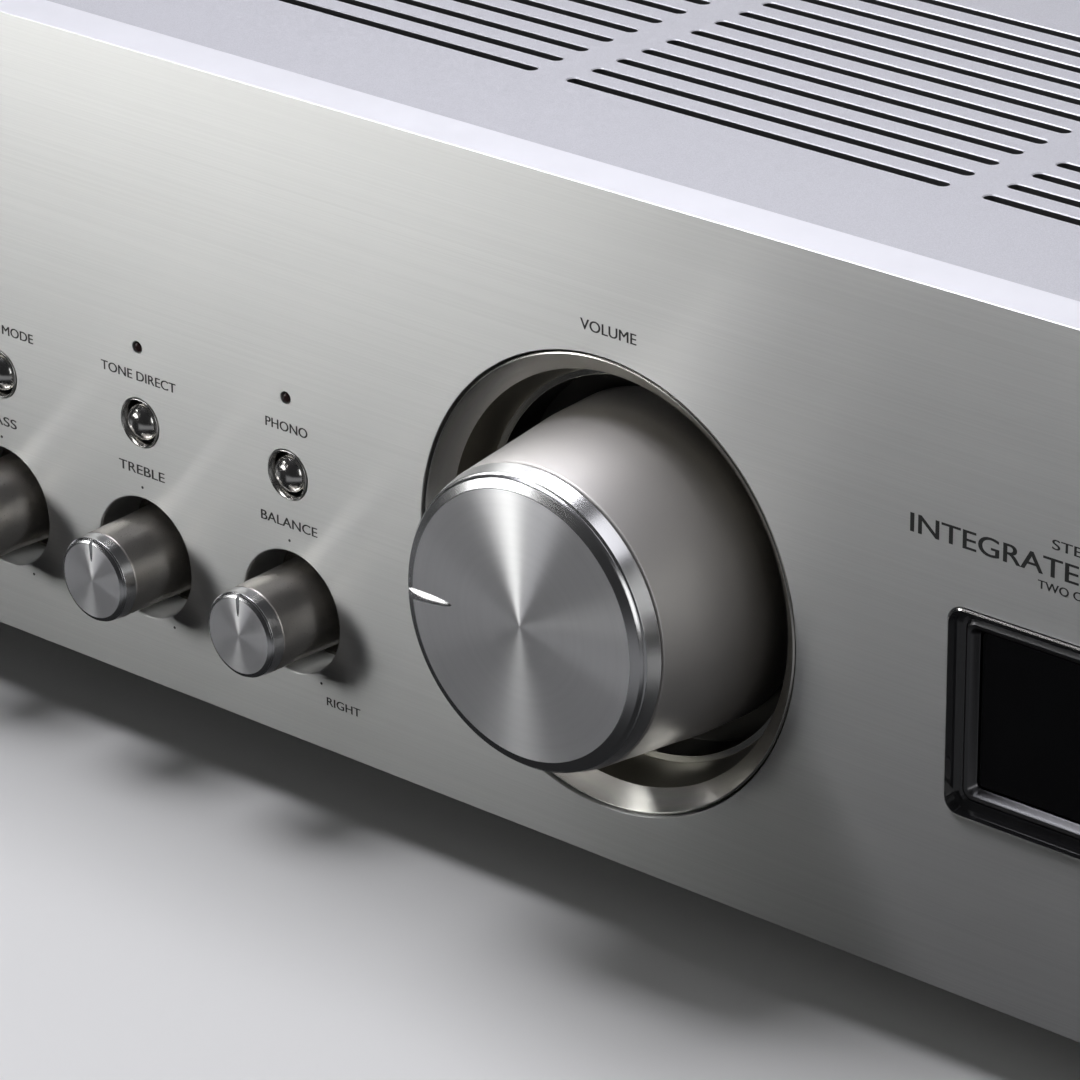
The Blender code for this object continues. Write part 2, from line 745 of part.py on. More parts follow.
def volume_pot():
    """The volume potentiometer on the plate that also carries its motor."""
    body = block((-12.5 * MM, 12.5 * MM), (29.6 * MM, 50 * MM), (-12.5 * MM, 12.5 * MM))
    pot = piece("volume_pot", body, "black_metal", at_volume())
    plate = block((-16 * MM, MOTOR_OFFSET + 13 * MM), (28.6 * MM, 29.8 * MM), (-16 * MM, 16 * MM))
    join(pot, "plate", plate)
    bores = [disc(3.3 * MM, 27 * MM, 42 * MM, 20), moved(disc(4 * MM, 27 * MM, 31 * MM, 20), MOTOR_OFFSET)]
    cut(pot, "bores", *bores)


def volume_motor():
    profile = [
        (0, 44 * MM),
        (1.5 * MM, 44 * MM),
        (1.5 * MM, 30.2 * MM),
        (10 * MM, 30.2 * MM),
        (10 * MM, 58 * MM),
        (3 * MM, 58 * MM),
        (3 * MM, 60 * MM),
        (0, 60 * MM),
    ]
    piece("volume_motor", spun(profile, 16), "steel", at_volume(MOTOR_OFFSET))


# --- Tone and source controls ----------------------------------------------------------------------------


def pot_body(name, x, rise, half, front, back):
    """A potentiometer or rotary switch with a blind bore for its shaft."""
    body = piece(name, block((-half, half), (front, back), (-half, half)), "black_metal", at_volume(x, rise))
    cut(body, "bore", disc(3.3 * MM, front - 1 * MM, back - 3 * MM, 20))


def control_board():
    """The upright board behind the buttons, with the switches that they press."""
    y = (BOARD_DEPTH, BOARD_DEPTH + BOARD_THICK)
    plate = block((-204 * MM, -52 * MM), y, (-42 * MM, 55 * MM))
    board = piece("control_board", plate, "board", at_volume())
    back = BOARD_DEPTH + 0.5 * MM
    switches = []
    for x in BUTTON_X.values():
        front = BUTTON_END + BUTTON_TRAVEL + 0.5 * MM
        switches.append(block((x - 3 * MM, x + 3 * MM), (front, back), (-3 * MM, 3 * MM)))
    power = (POWER_X - 8 * MM, POWER_X + 8 * MM)
    front = POWER_END + POWER_TRAVEL + 0.5 * MM
    switches.append(block(power, (front, back), (-8 * MM, 8 * MM)))
    join(board, "switches", *switches)
    clear = (y[0] - 1 * MM, y[1] + 1 * MM)
    holes = [moved(disc(4.5 * MM, *clear, 12), x, 0, TONE_DROP) for x in TONE_X.values()]
    holes.append(moved(disc(8.6 * MM, *clear, 16), POWER_X, 0, PHONES_DROP))
    cut(board, "holes", *holes)


def controls():
    front = BOARD_DEPTH + BOARD_THICK + GAP
    for name, x in TONE_X.items():
        pot_body(f"{name}_pot", x, TONE_DROP, 6 * MM, front, front + 13 * MM)
    pot_body("input_switch", INPUT_X, 0, 12 * MM, 20 * MM, 40 * MM)
    control_board()


# --- Buttons, indicators and headphone socket ------------------------------------------------------------


def bezel(name, x, radius, bore, segments):
    """A turned collar whose mouth is a polished cone."""
    profile = [
        (radius, -0.3 * MM),
        (radius, PANEL_THICK - 1 * MM),
        (bore, PANEL_THICK - 1 * MM),
        (bore, 1.2 * MM),
    ]
    piece(name, spun(profile, segments), "polished", at_volume(x))


def button(name, x):
    """A domed button on a stem that reaches its switch."""
    profile = [
        (0, -1.3 * MM),
        (1.4 * MM, -1.1 * MM),
        (2.6 * MM, -0.5 * MM),
        (BUTTON_RADIUS, 0.6 * MM),
        (BUTTON_RADIUS, 6 * MM),
        (BUTTON_STEM, 6 * MM),
        (BUTTON_STEM, BUTTON_END),
        (0, BUTTON_END),
    ]
    piece(name, spun(profile, 16), "polished", at_volume(x))


def indicator(name, x):
    profile = [(0, -0.2 * MM), (0.7 * MM, 0), (1.0 * MM, 0.3 * MM), (1.0 * MM, 14 * MM), (0, 14 * MM)]
    piece(name, spun(profile, 12), "lamp", at_volume(x, INDICATOR_RISE))


def power_button():
    profile = [
        (0, -2.4 * MM),
        (POWER_RADIUS - 1 * MM, -2.4 * MM),
        (POWER_RADIUS, -1.6 * MM),
        (POWER_RADIUS, PANEL_THICK - POWER_TRAVEL - GAP),
        (3 * MM, PANEL_THICK - POWER_TRAVEL - GAP),
        (3 * MM, POWER_END),
        (0, POWER_END),
    ]
    piece("power_button", spun(profile, 20), "satin", at_volume(POWER_X))


def headphone_jack():
    profile = [
        (3.3 * MM, -1.0 * MM),
        (6.8 * MM, -1.0 * MM),
        (7.2 * MM, -0.3 * MM),
        (5.4 * MM, -0.3 * MM),
        (5.4 * MM, 12 * MM),
        (8 * MM, 12 * MM),
        (8 * MM, 36 * MM),
        (3.3 * MM, 36 * MM),
    ]
    piece("headphone_jack", spun(profile, 16), "black_plastic", at_volume(POWER_X, PHONES_DROP))


def push_controls():
    for name, x in BUTTON_X.items():
        bezel(f"{name}_bezel", x, BEZEL_RADIUS, BEZEL_BORE, 16)
        button(f"{name}_button", x)
        indicator(f"{name}_indicator", x)
    bezel("power_bezel", POWER_X, 9 * MM, POWER_RADIUS + GAP, 20)
    power_button()
    headphone_jack()


# --- Inside ----------------------------------------------------------------------------------------------


def power_transformer():
    """A toroidal transformer in its steel can."""
    profile = [
        (8 * MM, 0),
        (50 * MM, 0),
        (50 * MM, 58 * MM),
        (47 * MM, 61 * MM),
        (11 * MM, 61 * MM),
        (8 * MM, 58 * MM),
    ]
    place = (-132 * MM, -78 * MM, BASE_TOP + GAP)
    piece("power_transformer", upright(spun(profile, 24)), "copper_can", place)


def filter_capacitor(name, x):
    profile = [
        (0, 0),
        (17.5 * MM, 0),
        (17.5 * MM, 54 * MM),
        (16.5 * MM, 55 * MM),
        (14 * MM, 54.4 * MM),
        (0, 54.4 * MM),
    ]
    piece(name, upright(spun(profile, 20)), "sleeve", (x, 45 * MM, BASE_TOP + GAP))


def heat_sink():
    """An extruded comb: fins stand up from a thick web, and the air passes between them."""
    fins = 22
    pitch = 7.4 * MM
    thick = 1.6 * MM
    outline = []
    for fin in range(fins):
        start = fin * pitch
        outline += [(start, 0), (start + thick, 0)]
        if fin < fins - 1:
            outline += [(start + thick, -34 * MM), (start + pitch, -34 * MM)]
    right = (fins - 1) * pitch + thick
    outline += [(right, -42 * MM), (0, -42 * MM)]
    piece("heat_sink", standing(outline, 0, 88 * MM), "black_fins", (-10 * MM, -70 * MM, 28 * MM))


def amplifier_board():
    z = 26 * MM
    plate = block((-52 * MM, 206 * MM), (-118 * MM, 165 * MM), (z, z + BOARD_THICK))
    board = piece("amplifier_board", plate, "board")
    parts = []
    for at in range(5):
        x = (-40 + 46 * at) * MM
        parts.append(block((x, x + 20 * MM), (60 * MM, 76 * MM), (z + 0.5 * MM, z + 18 * MM)))
    for at in range(8):
        x = (-44 + 28 * at) * MM
        parts.append(block((x, x + 8 * MM), (105 * MM, 125 * MM), (z + 0.5 * MM, z + 14 * MM)))
    join(board, "components", *parts)


# --- Rear fittings ---------------------------------------------------------------------------------------


def rca_jack_bank():
    """The moulded block of line sockets, with the stud for the earth nut."""
    y = REAR_FACE + GAP
    plate = block((-142 * MM, -10 * MM), (y, y + 2 * MM), (74 * MM, 121 * MM))
    bank = piece("rca_jack_bank", plate, "black_plastic")
    fittings = [block((-120 * MM, -14 * MM), (y - 12 * MM, y + 0.5 * MM), (78 * MM, 117 * MM))]
    for column in range(JACK_COLUMNS):
        for z in JACK_ROWS_Z:
            socket = [
                (0, 1.5 * MM),
                (4.15 * MM, 1.5 * MM),
                (4.15 * MM, 11 * MM),
                (1.7 * MM, 11 * MM),
                (1.7 * MM, 3 * MM),
                (0, 3 * MM),
            ]
            fittings.append(moved(spun(socket, 8), JACK_FIRST_X + column * JACK_PITCH, y, z))
    fittings.append(moved(disc(1.9 * MM, 1.5 * MM, 13 * MM, 12), GROUND_X, y, JACK_ROWS_Z[0]))
    join(bank, "fittings", *fittings)


def ground_terminal_nut():
    profile = [(2.1 * MM, 3 * MM), (5 * MM, 3 * MM), (5 * MM, 9 * MM), (2.1 * MM, 9 * MM)]
    place = (GROUND_X, REAR_FACE + GAP, JACK_ROWS_Z[0])
    piece("ground_terminal_nut", spun(profile, 18), "brass", place)


def ac_inlet():
    """A flanged mains inlet with three blades at the bottom of its recess."""
    y = REAR_FACE + GAP
    place = (INLET_X, y, INLET_Z)
    flange = prism(rounded_outline((-25 * MM, 25 * MM), (-13 * MM, 13 * MM), 3 * MM), 0, 2 * MM)
    inlet = piece("ac_inlet", flange, "black_plastic", place)
    join(inlet, "body", block((-14 * MM, 14 * MM), (-24 * MM, 0.5 * MM), (-10.5 * MM, 10.5 * MM)))
    cut(inlet, "recess", block((-12 * MM, 12 * MM), (-15 * MM, 3 * MM), (-8.5 * MM, 8.5 * MM)))
    blades = []
    for x, z in ((-7, -2), (0, 2), (7, -2)):
        x_range = ((x - 1) * MM, (x + 1) * MM)
        blades.append(block(x_range, (-16 * MM, -4 * MM), ((z - 2) * MM, (z + 2) * MM)))
    join(inlet, "blades", *blades)


def speaker_terminals():
    y = REAR_FACE + GAP
    plate = block((50 * MM, 190 * MM), (y, y + 2 * MM), (TERMINAL_Z - 21 * MM, TERMINAL_Z + 21 * MM))
    obj = piece("speaker_terminal_plate", plate, "black_plastic")
    z = (TERMINAL_Z - 15 * MM, TERMINAL_Z + 15 * MM)
    posts = [block((56 * MM, 184 * MM), (y - 14 * MM, y + 0.5 * MM), z)]
    for x in TERMINAL_X:
        post = [
            (0, 1.5 * MM),
            (9 * MM, 1.5 * MM),
            (9 * MM, 5 * MM),
            (2 * MM, 5 * MM),
            (2 * MM, 24 * MM),
            (0, 24 * MM),
        ]
        posts.append(moved(spun(post, 16), x, y, TERMINAL_Z))
    join(obj, "posts", *posts)
    end = DEPTH / 2 - y
    for at, x in enumerate(TERMINAL_X):
        profile = [
            (2.3 * MM, 5.4 * MM),
            (7.4 * MM, 5.4 * MM),
            (8.4 * MM, 6.4 * MM),
            (8.4 * MM, end - 2 * MM),
            (7.4 * MM, end),
            (2.3 * MM, end),
        ]
        piece(f"speaker_terminal_cap_{at + 1}", spun(profile, 16), "black_plastic", (x, y, TERMINAL_Z))


def main():
    clear_scene()
    chassis_base()
    feet()
    top_cover()
    sub_front_plate()
    rear_panel()
    front_panel()
    recess_cup("volume_recess_cup", 0, 1, 40)
    recess_cup("input_recess_cup", INPUT_X, INPUT_SCALE, 28)
    tone_recess_strip()
    display_frame()
    display_window()
    display_module()
    knobs()
    volume_drive_gear()
    motor_pinion()
    volume_pot()
    volume_motor()
    controls()
    push_controls()
    power_transformer()
    filter_capacitor("filter_capacitor_left", -160 * MM)
    filter_capacitor("filter_capacitor_right", -115 * MM)
    heat_sink()
    amplifier_board()
    rca_jack_bank()
    ground_terminal_nut()
    ac_inlet()
    speaker_terminals()


main()
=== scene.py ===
"""The looks of the integrated amplifier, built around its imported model.

Lengths are in metres: +Z is up and the front faces -Y. Controls and their fittings are modelled from an
origin on the panel's front plane, so that a local y is a depth behind that plane. Rear fittings have theirs
on the rear face. Turned pieces are spun from a profile of (radius, depth) points, given in millimetres.
"""

import math

import bmesh
import bpy
from mathutils import Matrix, Vector


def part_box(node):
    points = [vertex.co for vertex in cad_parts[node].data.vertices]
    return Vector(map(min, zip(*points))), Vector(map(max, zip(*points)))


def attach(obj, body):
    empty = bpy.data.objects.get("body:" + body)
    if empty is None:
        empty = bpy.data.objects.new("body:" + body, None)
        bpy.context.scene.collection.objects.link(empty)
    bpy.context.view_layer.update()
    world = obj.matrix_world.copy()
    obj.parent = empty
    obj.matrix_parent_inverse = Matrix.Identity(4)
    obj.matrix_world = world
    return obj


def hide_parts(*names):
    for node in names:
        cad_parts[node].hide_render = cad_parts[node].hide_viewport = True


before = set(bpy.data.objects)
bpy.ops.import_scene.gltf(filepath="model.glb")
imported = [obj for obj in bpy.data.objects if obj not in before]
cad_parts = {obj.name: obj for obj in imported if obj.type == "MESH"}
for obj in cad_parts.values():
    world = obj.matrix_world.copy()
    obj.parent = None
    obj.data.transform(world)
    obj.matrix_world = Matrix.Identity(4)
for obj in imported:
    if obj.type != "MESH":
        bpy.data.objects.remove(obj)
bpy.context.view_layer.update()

MM = 0.001
ORIGIN = (0, 0, 0)

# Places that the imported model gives
PANEL_LOW, PANEL_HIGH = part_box("front_panel")
PANEL_FRONT = PANEL_LOW.y
PANEL_THICK = PANEL_HIGH.y - PANEL_LOW.y
COVER_LOW, COVER_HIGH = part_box("top_cover")
REAR_LOW, REAR_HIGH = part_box("rear_panel")
REAR_FACE = REAR_HIGH.y + 0.3 * MM
TONE_NAMES = ("bass", "treble", "balance")
BUTTON_NAMES = ("mode", "direct", "phono")

# Camera
LENS_MM = 187.5
SENSOR_MM = 36
CAMERA_PLACE = Vector((556.5, -829.8, 450.7)) * MM
CAMERA_AIM_FROM_VOLUME = Vector((-14.0, 0, 4.35)) * MM
CAMERA_ROLL_DEG = -0.485

# Studio: the middle of the world's glow is given by two parts of its direction
GLOW_MIDDLE_X = -0.605
GLOW_MIDDLE_Z = -0.41
STUDIO_COLOUR = (0.95, 0.96, 1.0)
STUDIO_DARK = 0.02
STUDIO_GLOW = 0.2
WARM_WHITE = (1.0, 1.0, 0.985)
COOL_WHITE = (0.95, 0.95, 1.0)
FLOOR_REACH = 6

# Segments round a turned piece
VERY_FINE = 256
FINE = 160
MEDIUM = 96
COARSE = 40

# Holes in the panel: the nodes they are for, radius and rounding of the mouth in millimetres, and segments
VOLUME_BORE = 41
INPUT_SCALE = 24 / VOLUME_BORE
PANEL_HOLES = (
    (("volume_shaft",), VOLUME_BORE, 0.14, VERY_FINE),
    (("input_shaft",), VOLUME_BORE * INPUT_SCALE, 0.14, FINE),
    (tuple(f"{name}_shaft" for name in TONE_NAMES), 11.5, 0.3, 128),
    (tuple(f"{name}_button" for name in BUTTON_NAMES), 4.75, 0.12, MEDIUM),
    (tuple(f"{name}_indicator" for name in BUTTON_NAMES), 1.15, 0.12, 48),
    (("power_button",), 9.15, 0.15, 128),
    (("headphone_jack",), 5.8, 0.2, MEDIUM),
)
BEYOND = 2 * MM

# Vent slots in the cover
SLOT_WIDTH = 2.4 * MM
SLOT_LENGTH = 81.4 * MM
SLOT_COLUMN_PITCH = SLOT_LENGTH + 7.3 * MM
SLOT_ROW_PITCH = 6.6 * MM
SLOT_FIRST_ROW = PANEL_FRONT + 38.6 * MM
SLOT_ROWS = 12
SHEET = 1.2 * MM

# Rear fittings
JACK_COLUMNS = 6
JACK_PITCH = 18 * MM
JACK_FIRST_X = -112 * MM
JACK_ROWS_Z = (88 * MM, 110 * MM)
PLATE_FACE = REAR_FACE + 2 * MM


# --- Modelling tools ---


def in_mm(points):
    return [(a * MM, b * MM) for a, b in points]


def centre(node):
    low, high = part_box(node)
    return (low + high) / 2


def on_panel(node):
    """The point of the panel's front plane that is in line with a node's middle."""
    middle = centre(node)
    return Vector((middle.x, PANEL_FRONT, middle.z))


def on_rear(node):
    """The point of the rear panel's outer face that is in line with a node's middle."""
    middle = centre(node)
    return Vector((middle.x, REAR_FACE, middle.z))


def linked(name, shape, place=ORIGIN):
    mesh = bpy.data.meshes.new(name)
    shape.to_mesh(mesh)
    shape.free()
    obj = bpy.data.objects.new(name, mesh)
    obj.location = place
    bpy.context.scene.collection.objects.link(obj)
    return obj


def together(shapes):
    """One bmesh that holds several separate shapes."""
    whole = bmesh.new()
    for shape in shapes:
        mesh = bpy.data.meshes.new("shape")
        shape.to_mesh(mesh)
        shape.free()
        whole.from_mesh(mesh)
        bpy.data.meshes.remove(mesh)
    return whole


def arc(x, z, radius, first, last, steps):
    """Points on a circular arc between two angles in degrees."""
    angles = [math.radians(first + (last - first) * at / steps) for at in range(steps + 1)]
    return [(x + radius * math.cos(angle), z + radius * math.sin(angle)) for angle in angles]


def eased(profile, radius, steps=4):
    """A profile with its corners rounded. One that starts off the axis is a closed ring."""
    points = [Vector(point) for point in profile]
    ring = profile[0][0] > 0
    result = []
    for at, point in enumerate(points):
        if not ring and at in (0, len(points) - 1):
            result.append(tuple(point))
            continue
        before = points[at - 1] - point
        after = points[(at + 1) % len(points)] - point
        reach = min(radius, 0.4 * before.length, 0.4 * after.length)
        start = point + before.normalized() * reach
        end = point + after.normalized() * reach
        for step in range(steps + 1):
            share = step / steps
            on_curve = (1 - share) ** 2 * start + 2 * share * (1 - share) * point + share**2 * end
            result.append(tuple(on_curve))
    return result


def spun(profile, segments=MEDIUM):
    """A solid of revolution about local Y."""
    shape = bmesh.new()
    rings = []
    for radius, depth in profile:
        if radius < 1e-7:
            rings.append([shape.verts.new((0, depth, 0))] * segments)
            continue
        ring = []
        for at in range(segments):
            angle = 2 * math.pi / segments * at
            ring.append(shape.verts.new((radius * math.sin(angle), depth, radius * math.cos(angle))))
        rings.append(ring)
    pairs = list(zip(rings, rings[1:]))
    if profile[0][0] > 0:
        pairs.append((rings[-1], rings[0]))
    for ring, following in pairs:
        for at in range(segments):
            after = (at + 1) % segments
            corners = [ring[at], ring[after], following[after], following[at]]
            unique = list(dict.fromkeys(corners))
            if len(unique) > 2:
                shape.faces.new(unique)
    bmesh.ops.recalc_face_normals(shape, faces=shape.faces)
    return shape


def lathe(profile, ease, segments=MEDIUM, steps=4):
    """A turned shape from points in millimetres, with its corners eased by so many millimetres."""
    return spun(eased(in_mm(profile), ease * MM, steps), segments)


def disc(radius, front, back, segments=MEDIUM):
    return spun([(0, front), (radius, front), (radius, back), (0, back)], segments)


def moved(shape, place):
    shape.transform(Matrix.Translation(place))
    return shape


def turned_about(shape, degrees, axis):
    shape.transform(Matrix.Rotation(math.radians(degrees), 4, axis))
    return shape


def stacked(sections):
    """A solid through a row of (depth, outline) sections with equal numbers of (x, z) points."""
    shape = bmesh.new()
    rings = [[shape.verts.new((x, depth, z)) for x, z in outline] for depth, outline in sections]
    count = len(rings[0])
    for ring, following in zip(rings, rings[1:]):
        for at in range(count):
            after = (at + 1) % count
            shape.faces.new((ring[at], ring[after], following[after], following[at]))
    shape.faces.new(rings[0])
    shape.faces.new(rings[-1])
    bmesh.ops.recalc_face_normals(shape, faces=shape.faces)
    return shape


def prism(outline, front, back):
    return stacked([(front, outline), (back, outline)])


def standing(shape):
    """Turns a shape so that its depth becomes a height below zero and its z becomes a y."""
    return turned_about(shape, -90, "X")


def block(low, high, ease=0.0, steps=3):
    """A box between two corners, with its edges rounded."""
    shape = bmesh.new()
    bmesh.ops.create_cube(shape, size=1)
    size = Vector(high) - Vector(low)
    middle = (Vector(high) + Vector(low)) / 2
    shape.transform(Matrix.Translation(middle) @ Matrix.Diagonal((*size, 1)))
    if ease:
        bmesh.ops.bevel(
            shape, geom=shape.edges[:], offset=ease, segments=steps, profile=0.5, affect="EDGES"
        )
    return shape


def rounded_outline(x, z, radius, steps=10):
    """The (x, z) outline of a rectangle with rounded corners."""
    outline = []
    corners = ((x[1], z[1], 0), (x[0], z[1], 90), (x[0], z[0], 180), (x[1], z[0], 270))
    for corner_x, corner_z, start in corners:
        inward_x = corner_x - math.copysign(radius, corner_x - sum(x) / 2)
        inward_z = corner_z - math.copysign(radius, corner_z - sum(z) / 2)
        outline += arc(inward_x, inward_z, radius, start, start + 90, steps)
    return outline


def applied(obj):
    """Replaces an object's mesh by its evaluated one, and drops the modifiers."""
    bpy.context.view_layer.update()
    evaluated = obj.evaluated_get(bpy.context.evaluated_depsgraph_get())
    mesh = bpy.data.meshes.new_from_object(evaluated)
    old = obj.data
    obj.modifiers.clear()
    obj.data = mesh
    bpy.data.meshes.remove(old)
    return obj


def carve(obj, shapes, operation="DIFFERENCE"):
    """Cuts shapes from an object, or joins them to it. The shapes are in its coordinates."""
    helper = linked("helper", together(shapes), obj.location)
    modifier = obj.modifiers.new("carve", "BOOLEAN")
    modifier.operation = operation
    modifier.solver = "EXACT"
    modifier.object = helper
    applied(obj)
    bpy.data.objects.remove(helper, do_unlink=True)
    return obj


def paint(obj, index, test):
    """Gives a material slot to the faces whose middle and normal pass the test."""
    for face in obj.data.polygons:
        if test(face.center, face.normal):
            face.material_index = index


def finished(obj, body, materials, replaced=(), angle=35):
    """Shades a piece, gives it its materials and ties it to the model."""
    for material in materials:
        obj.data.materials.append(material)
    obj.data.shade_smooth()
    obj.data.set_sharp_from_angle(angle=math.radians(angle))
    weighted = obj.modifiers.new("normals", "WEIGHTED_NORMAL")
    weighted.keep_sharp = True
    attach(obj, body)
    if replaced:
        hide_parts(*replaced)
    return obj


# --- Material tools ---


def add(tree, kind, inputs=None, **settings):
    """A shader node with its settings. Each input is a value, or a socket to link."""
    made = tree.nodes.new("ShaderNode" + kind)
    for key, value in settings.items():
        setattr(made, key, value)
    for key, value in (inputs or {}).items():
        feed(tree, made.inputs[key], value)
    return made


def feed(tree, socket, value):
    if isinstance(value, bpy.types.NodeSocket):
        tree.links.new(value, socket)
    else:
        socket.default_value = value


def principled(name, colour, roughness, metallic=0.0, **constants):
    """A new material: its tree and its shader. The constants are set on the shader's own sockets."""
    made = bpy.data.materials.new(name)
    made.use_nodes = True
    tree = made.node_tree
    shader = tree.nodes["Principled BSDF"]
    shader.inputs["Base Color"].default_value = (*colour, 1)
    shader.inputs["Roughness"].default_value = roughness
    shader.inputs["Metallic"].default_value = metallic
    for key, value in constants.items():
        shader.inputs[key.replace("_", " ")].default_value = value
    made.diffuse_color = (*colour, 1)
    return made, tree, shader


def place_in(tree):
    return add(tree, "TexCoord").outputs["Object"]


def grain(tree, per_metre, detail=3.0, roughness=0.55):
    """Noise with so many features to the metre: one number, or one each for x, y and z."""
    scale = per_metre if isinstance(per_metre, tuple) else (per_metre,) * 3
    scaled = add(tree, "Mapping", {"Vector": place_in(tree), "Scale": scale})
    inputs = {"Vector": scaled.outputs["Vector"], "Scale": 1.0, "Detail": detail, "Roughness": roughness}
    return add(tree, "TexNoise", inputs).outputs["Fac"]


def between(tree, share, low, high, start=0.3, end=0.7):
    """Spreads a share of start to end over low to high."""
    inputs = {"Value": share, "From Min": start, "From Max": end, "To Min": low, "To Max": high}
    return add(tree, "MapRange", inputs).outputs["Result"]


def blend_colours(tree, share, first, second, start=0.3, end=0.7):
    ramp = add(tree, "ValToRGB", {"Fac": share})
    ramp.color_ramp.elements[0].position = start
    ramp.color_ramp.elements[0].color = (*first, 1)
    ramp.color_ramp.elements[1].position = end
    ramp.color_ramp.elements[1].color = (*second, 1)
    return ramp.outputs["Color"]


def shade(colour, share):
    return tuple(channel * share for channel in colour)


def tinted(tree, shader, share, colour, low, high):
    """Lets a share vary a colour between two of its shades."""
    tint = blend_colours(tree, share, shade(colour, low), shade(colour, high))
    feed(tree, shader.inputs["Base Color"], tint)


def roughened(tree, shader, share, low, high):
    feed(tree, shader.inputs["Roughness"], between(tree, share, low, high))


def maths(tree, operation, *values):
    return add(tree, "Math", dict(enumerate(values)), operation=operation).outputs["Value"]


def radial_tangent(tree, shader):
    """Makes the streaks of a reflection run with rings round a piece's own axis."""
    radial = add(tree, "Tangent", direction_type="RADIAL", axis="Y").outputs["Tangent"]
    feed(tree, shader.inputs["Tangent"], radial)


def bump(tree, shader, height, distance, strength=1.0, under=None):
    inputs = {"Height": height, "Distance": distance, "Strength": strength}
    if under is not None:
        inputs["Normal"] = under
    normal = add(tree, "Bump", inputs).outputs["Normal"]
    feed(tree, shader.inputs["Normal"], normal)
    return normal


def off_axis(tree):
    """The distance from a piece's own axis, which runs along its y."""
    parts = add(tree, "SeparateXYZ", {"Vector": place_in(tree)})
    flat = add(tree, "CombineXYZ", {"X": parts.outputs["X"], "Y": parts.outputs["Z"]})
    return add(tree, "VectorMath", {0: flat.outputs["Vector"]}, operation="LENGTH").outputs["Value"]


def along_axis(tree):
    return add(tree, "SeparateXYZ", {"Vector": place_in(tree)}).outputs["Y"]


def lines_across(tree, distance, per_metre, detail=4.0):
    """Fine marks that depend on one distance only, such as a lathe leaves."""
    scaled = maths(tree, "MULTIPLY", distance, per_metre)
    inputs = {"W": scaled, "Scale": 1.0, "Detail": detail, "Roughness": 0.6}
    return add(tree, "TexNoise", inputs, noise_dimensions="1D").outputs["Fac"]


# --- Materials ---

# Marks that cutting leaves, and the slope that the tool gives to each ring of a faced front
TURNING_PER_METRE = 9000
FACING_PER_METRE = 7000
FACING_BANDS_PER_METRE = 600
FACING_SLOPE = -0.28
BOARD_CELLS_PER_METRE = 420


def brushed_panel():
    """Aluminium brushed along X under a clear anodised layer."""
    colour = (0.655, 0.658, 0.652)
    made, tree, shader = principled(
        "brushed_panel", colour, 0.40, 1.0, Anisotropic=1.0, Anisotropic_Rotation=0.25
    )
    along_x = add(tree, "CombineXYZ", {"X": 1.0}).outputs["Vector"]
    feed(tree, shader.inputs["Tangent"], along_x)
    long_streaks = grain(tree, (9, 4200, 4200), 2, 0.6)
    short_streaks = grain(tree, (60, 8000, 8000), 2, 0.5)
    tinted(tree, shader, long_streaks, colour, 0.965, 1.03)
    roughened(tree, shader, short_streaks, 0.36, 0.44)
    first = bump(tree, shader, long_streaks, 0.0009 * MM, 0.3)
    bump(tree, shader, short_streaks, 0.0006 * MM, 0.3, first)
    return made


def satin(name, colour, roughness, metallic=1.0):
    """Bead-blasted and anodised aluminium."""
    made, tree, shader = principled(name, colour, roughness, metallic)
    beads = grain(tree, 5500, 2, 0.5)
    cloud = grain(tree, 60, 3, 0.5)
    tinted(tree, shader, cloud, colour, 0.97, 1.02)
    roughened(tree, shader, beads, roughness - 0.04, roughness + 0.05)
    bump(tree, shader, beads, 0.012 * MM, 0.25)
    return made


def turned_marks(name, colour, roughness):
    """Fine-turned aluminium, with faint lathe marks round its own axis."""
    made, tree, shader = principled(
        name, colour, roughness, 1.0, Anisotropic=0.35, Anisotropic_Rotation=0.25
    )
    radial_tangent(tree, shader)
    total = maths(tree, "ADD", off_axis(tree), along_axis(tree))
    rings = lines_across(tree, total, TURNING_PER_METRE)
    roughened(tree, shader, rings, roughness * 0.9, roughness * 1.15)
    bump(tree, shader, rings, 0.012 * MM, 0.25)
    return made


def spun_face():
    """The faced front of a knob, whose fine rings gather light into two opposite fans."""
    colour = (0.86, 0.86, 0.87)
    made, tree, shader = principled(
        "spun_face", colour, 0.42, 0.72, Anisotropic=0.95, Anisotropic_Rotation=0.267
    )
    radial_tangent(tree, shader)
    radius = off_axis(tree)
    rings = lines_across(tree, radius, FACING_PER_METRE)
    broad = lines_across(tree, radius, FACING_BANDS_PER_METRE, 2.0)
    tinted(tree, shader, broad, colour, 0.985, 1.015)
    roughened(tree, shader, rings, 0.41, 0.43)
    tilted = bump(tree, shader, maths(tree, "MULTIPLY", radius, FACING_SLOPE), 1.0)
    bump(tree, shader, rings, 0.0003 * MM, 0.3, tilted)
    return made


def polished(name, colour=(0.80, 0.80, 0.81), roughness=0.23):
    """Diamond-cut or plated bright metal."""
    made, tree, shader = principled(name, colour, roughness, 1.0)
    haze = grain(tree, 300, 4, 0.6)
    roughened(tree, shader, haze, roughness * 0.97, roughness * 1.03)
    return made


def metallic_paint():
    """Fine silver paint on the steel cover."""
    colour = (0.60, 0.60, 0.64)
    made, tree, shader = principled(
        "metallic_paint", colour, 0.42, 0.55, Coat_Weight=0.15, Coat_Roughness=0.25
    )
    flakes = grain(tree, 6500, 2, 0.6)
    mottle = grain(tree, 1300, 3, 0.6)
    tinted(tree, shader, flakes, colour, 0.86, 1.12)
    roughened(tree, shader, mottle, 0.37, 0.47)
    bump(tree, shader, mottle, 0.02 * MM, 0.35)
    return made


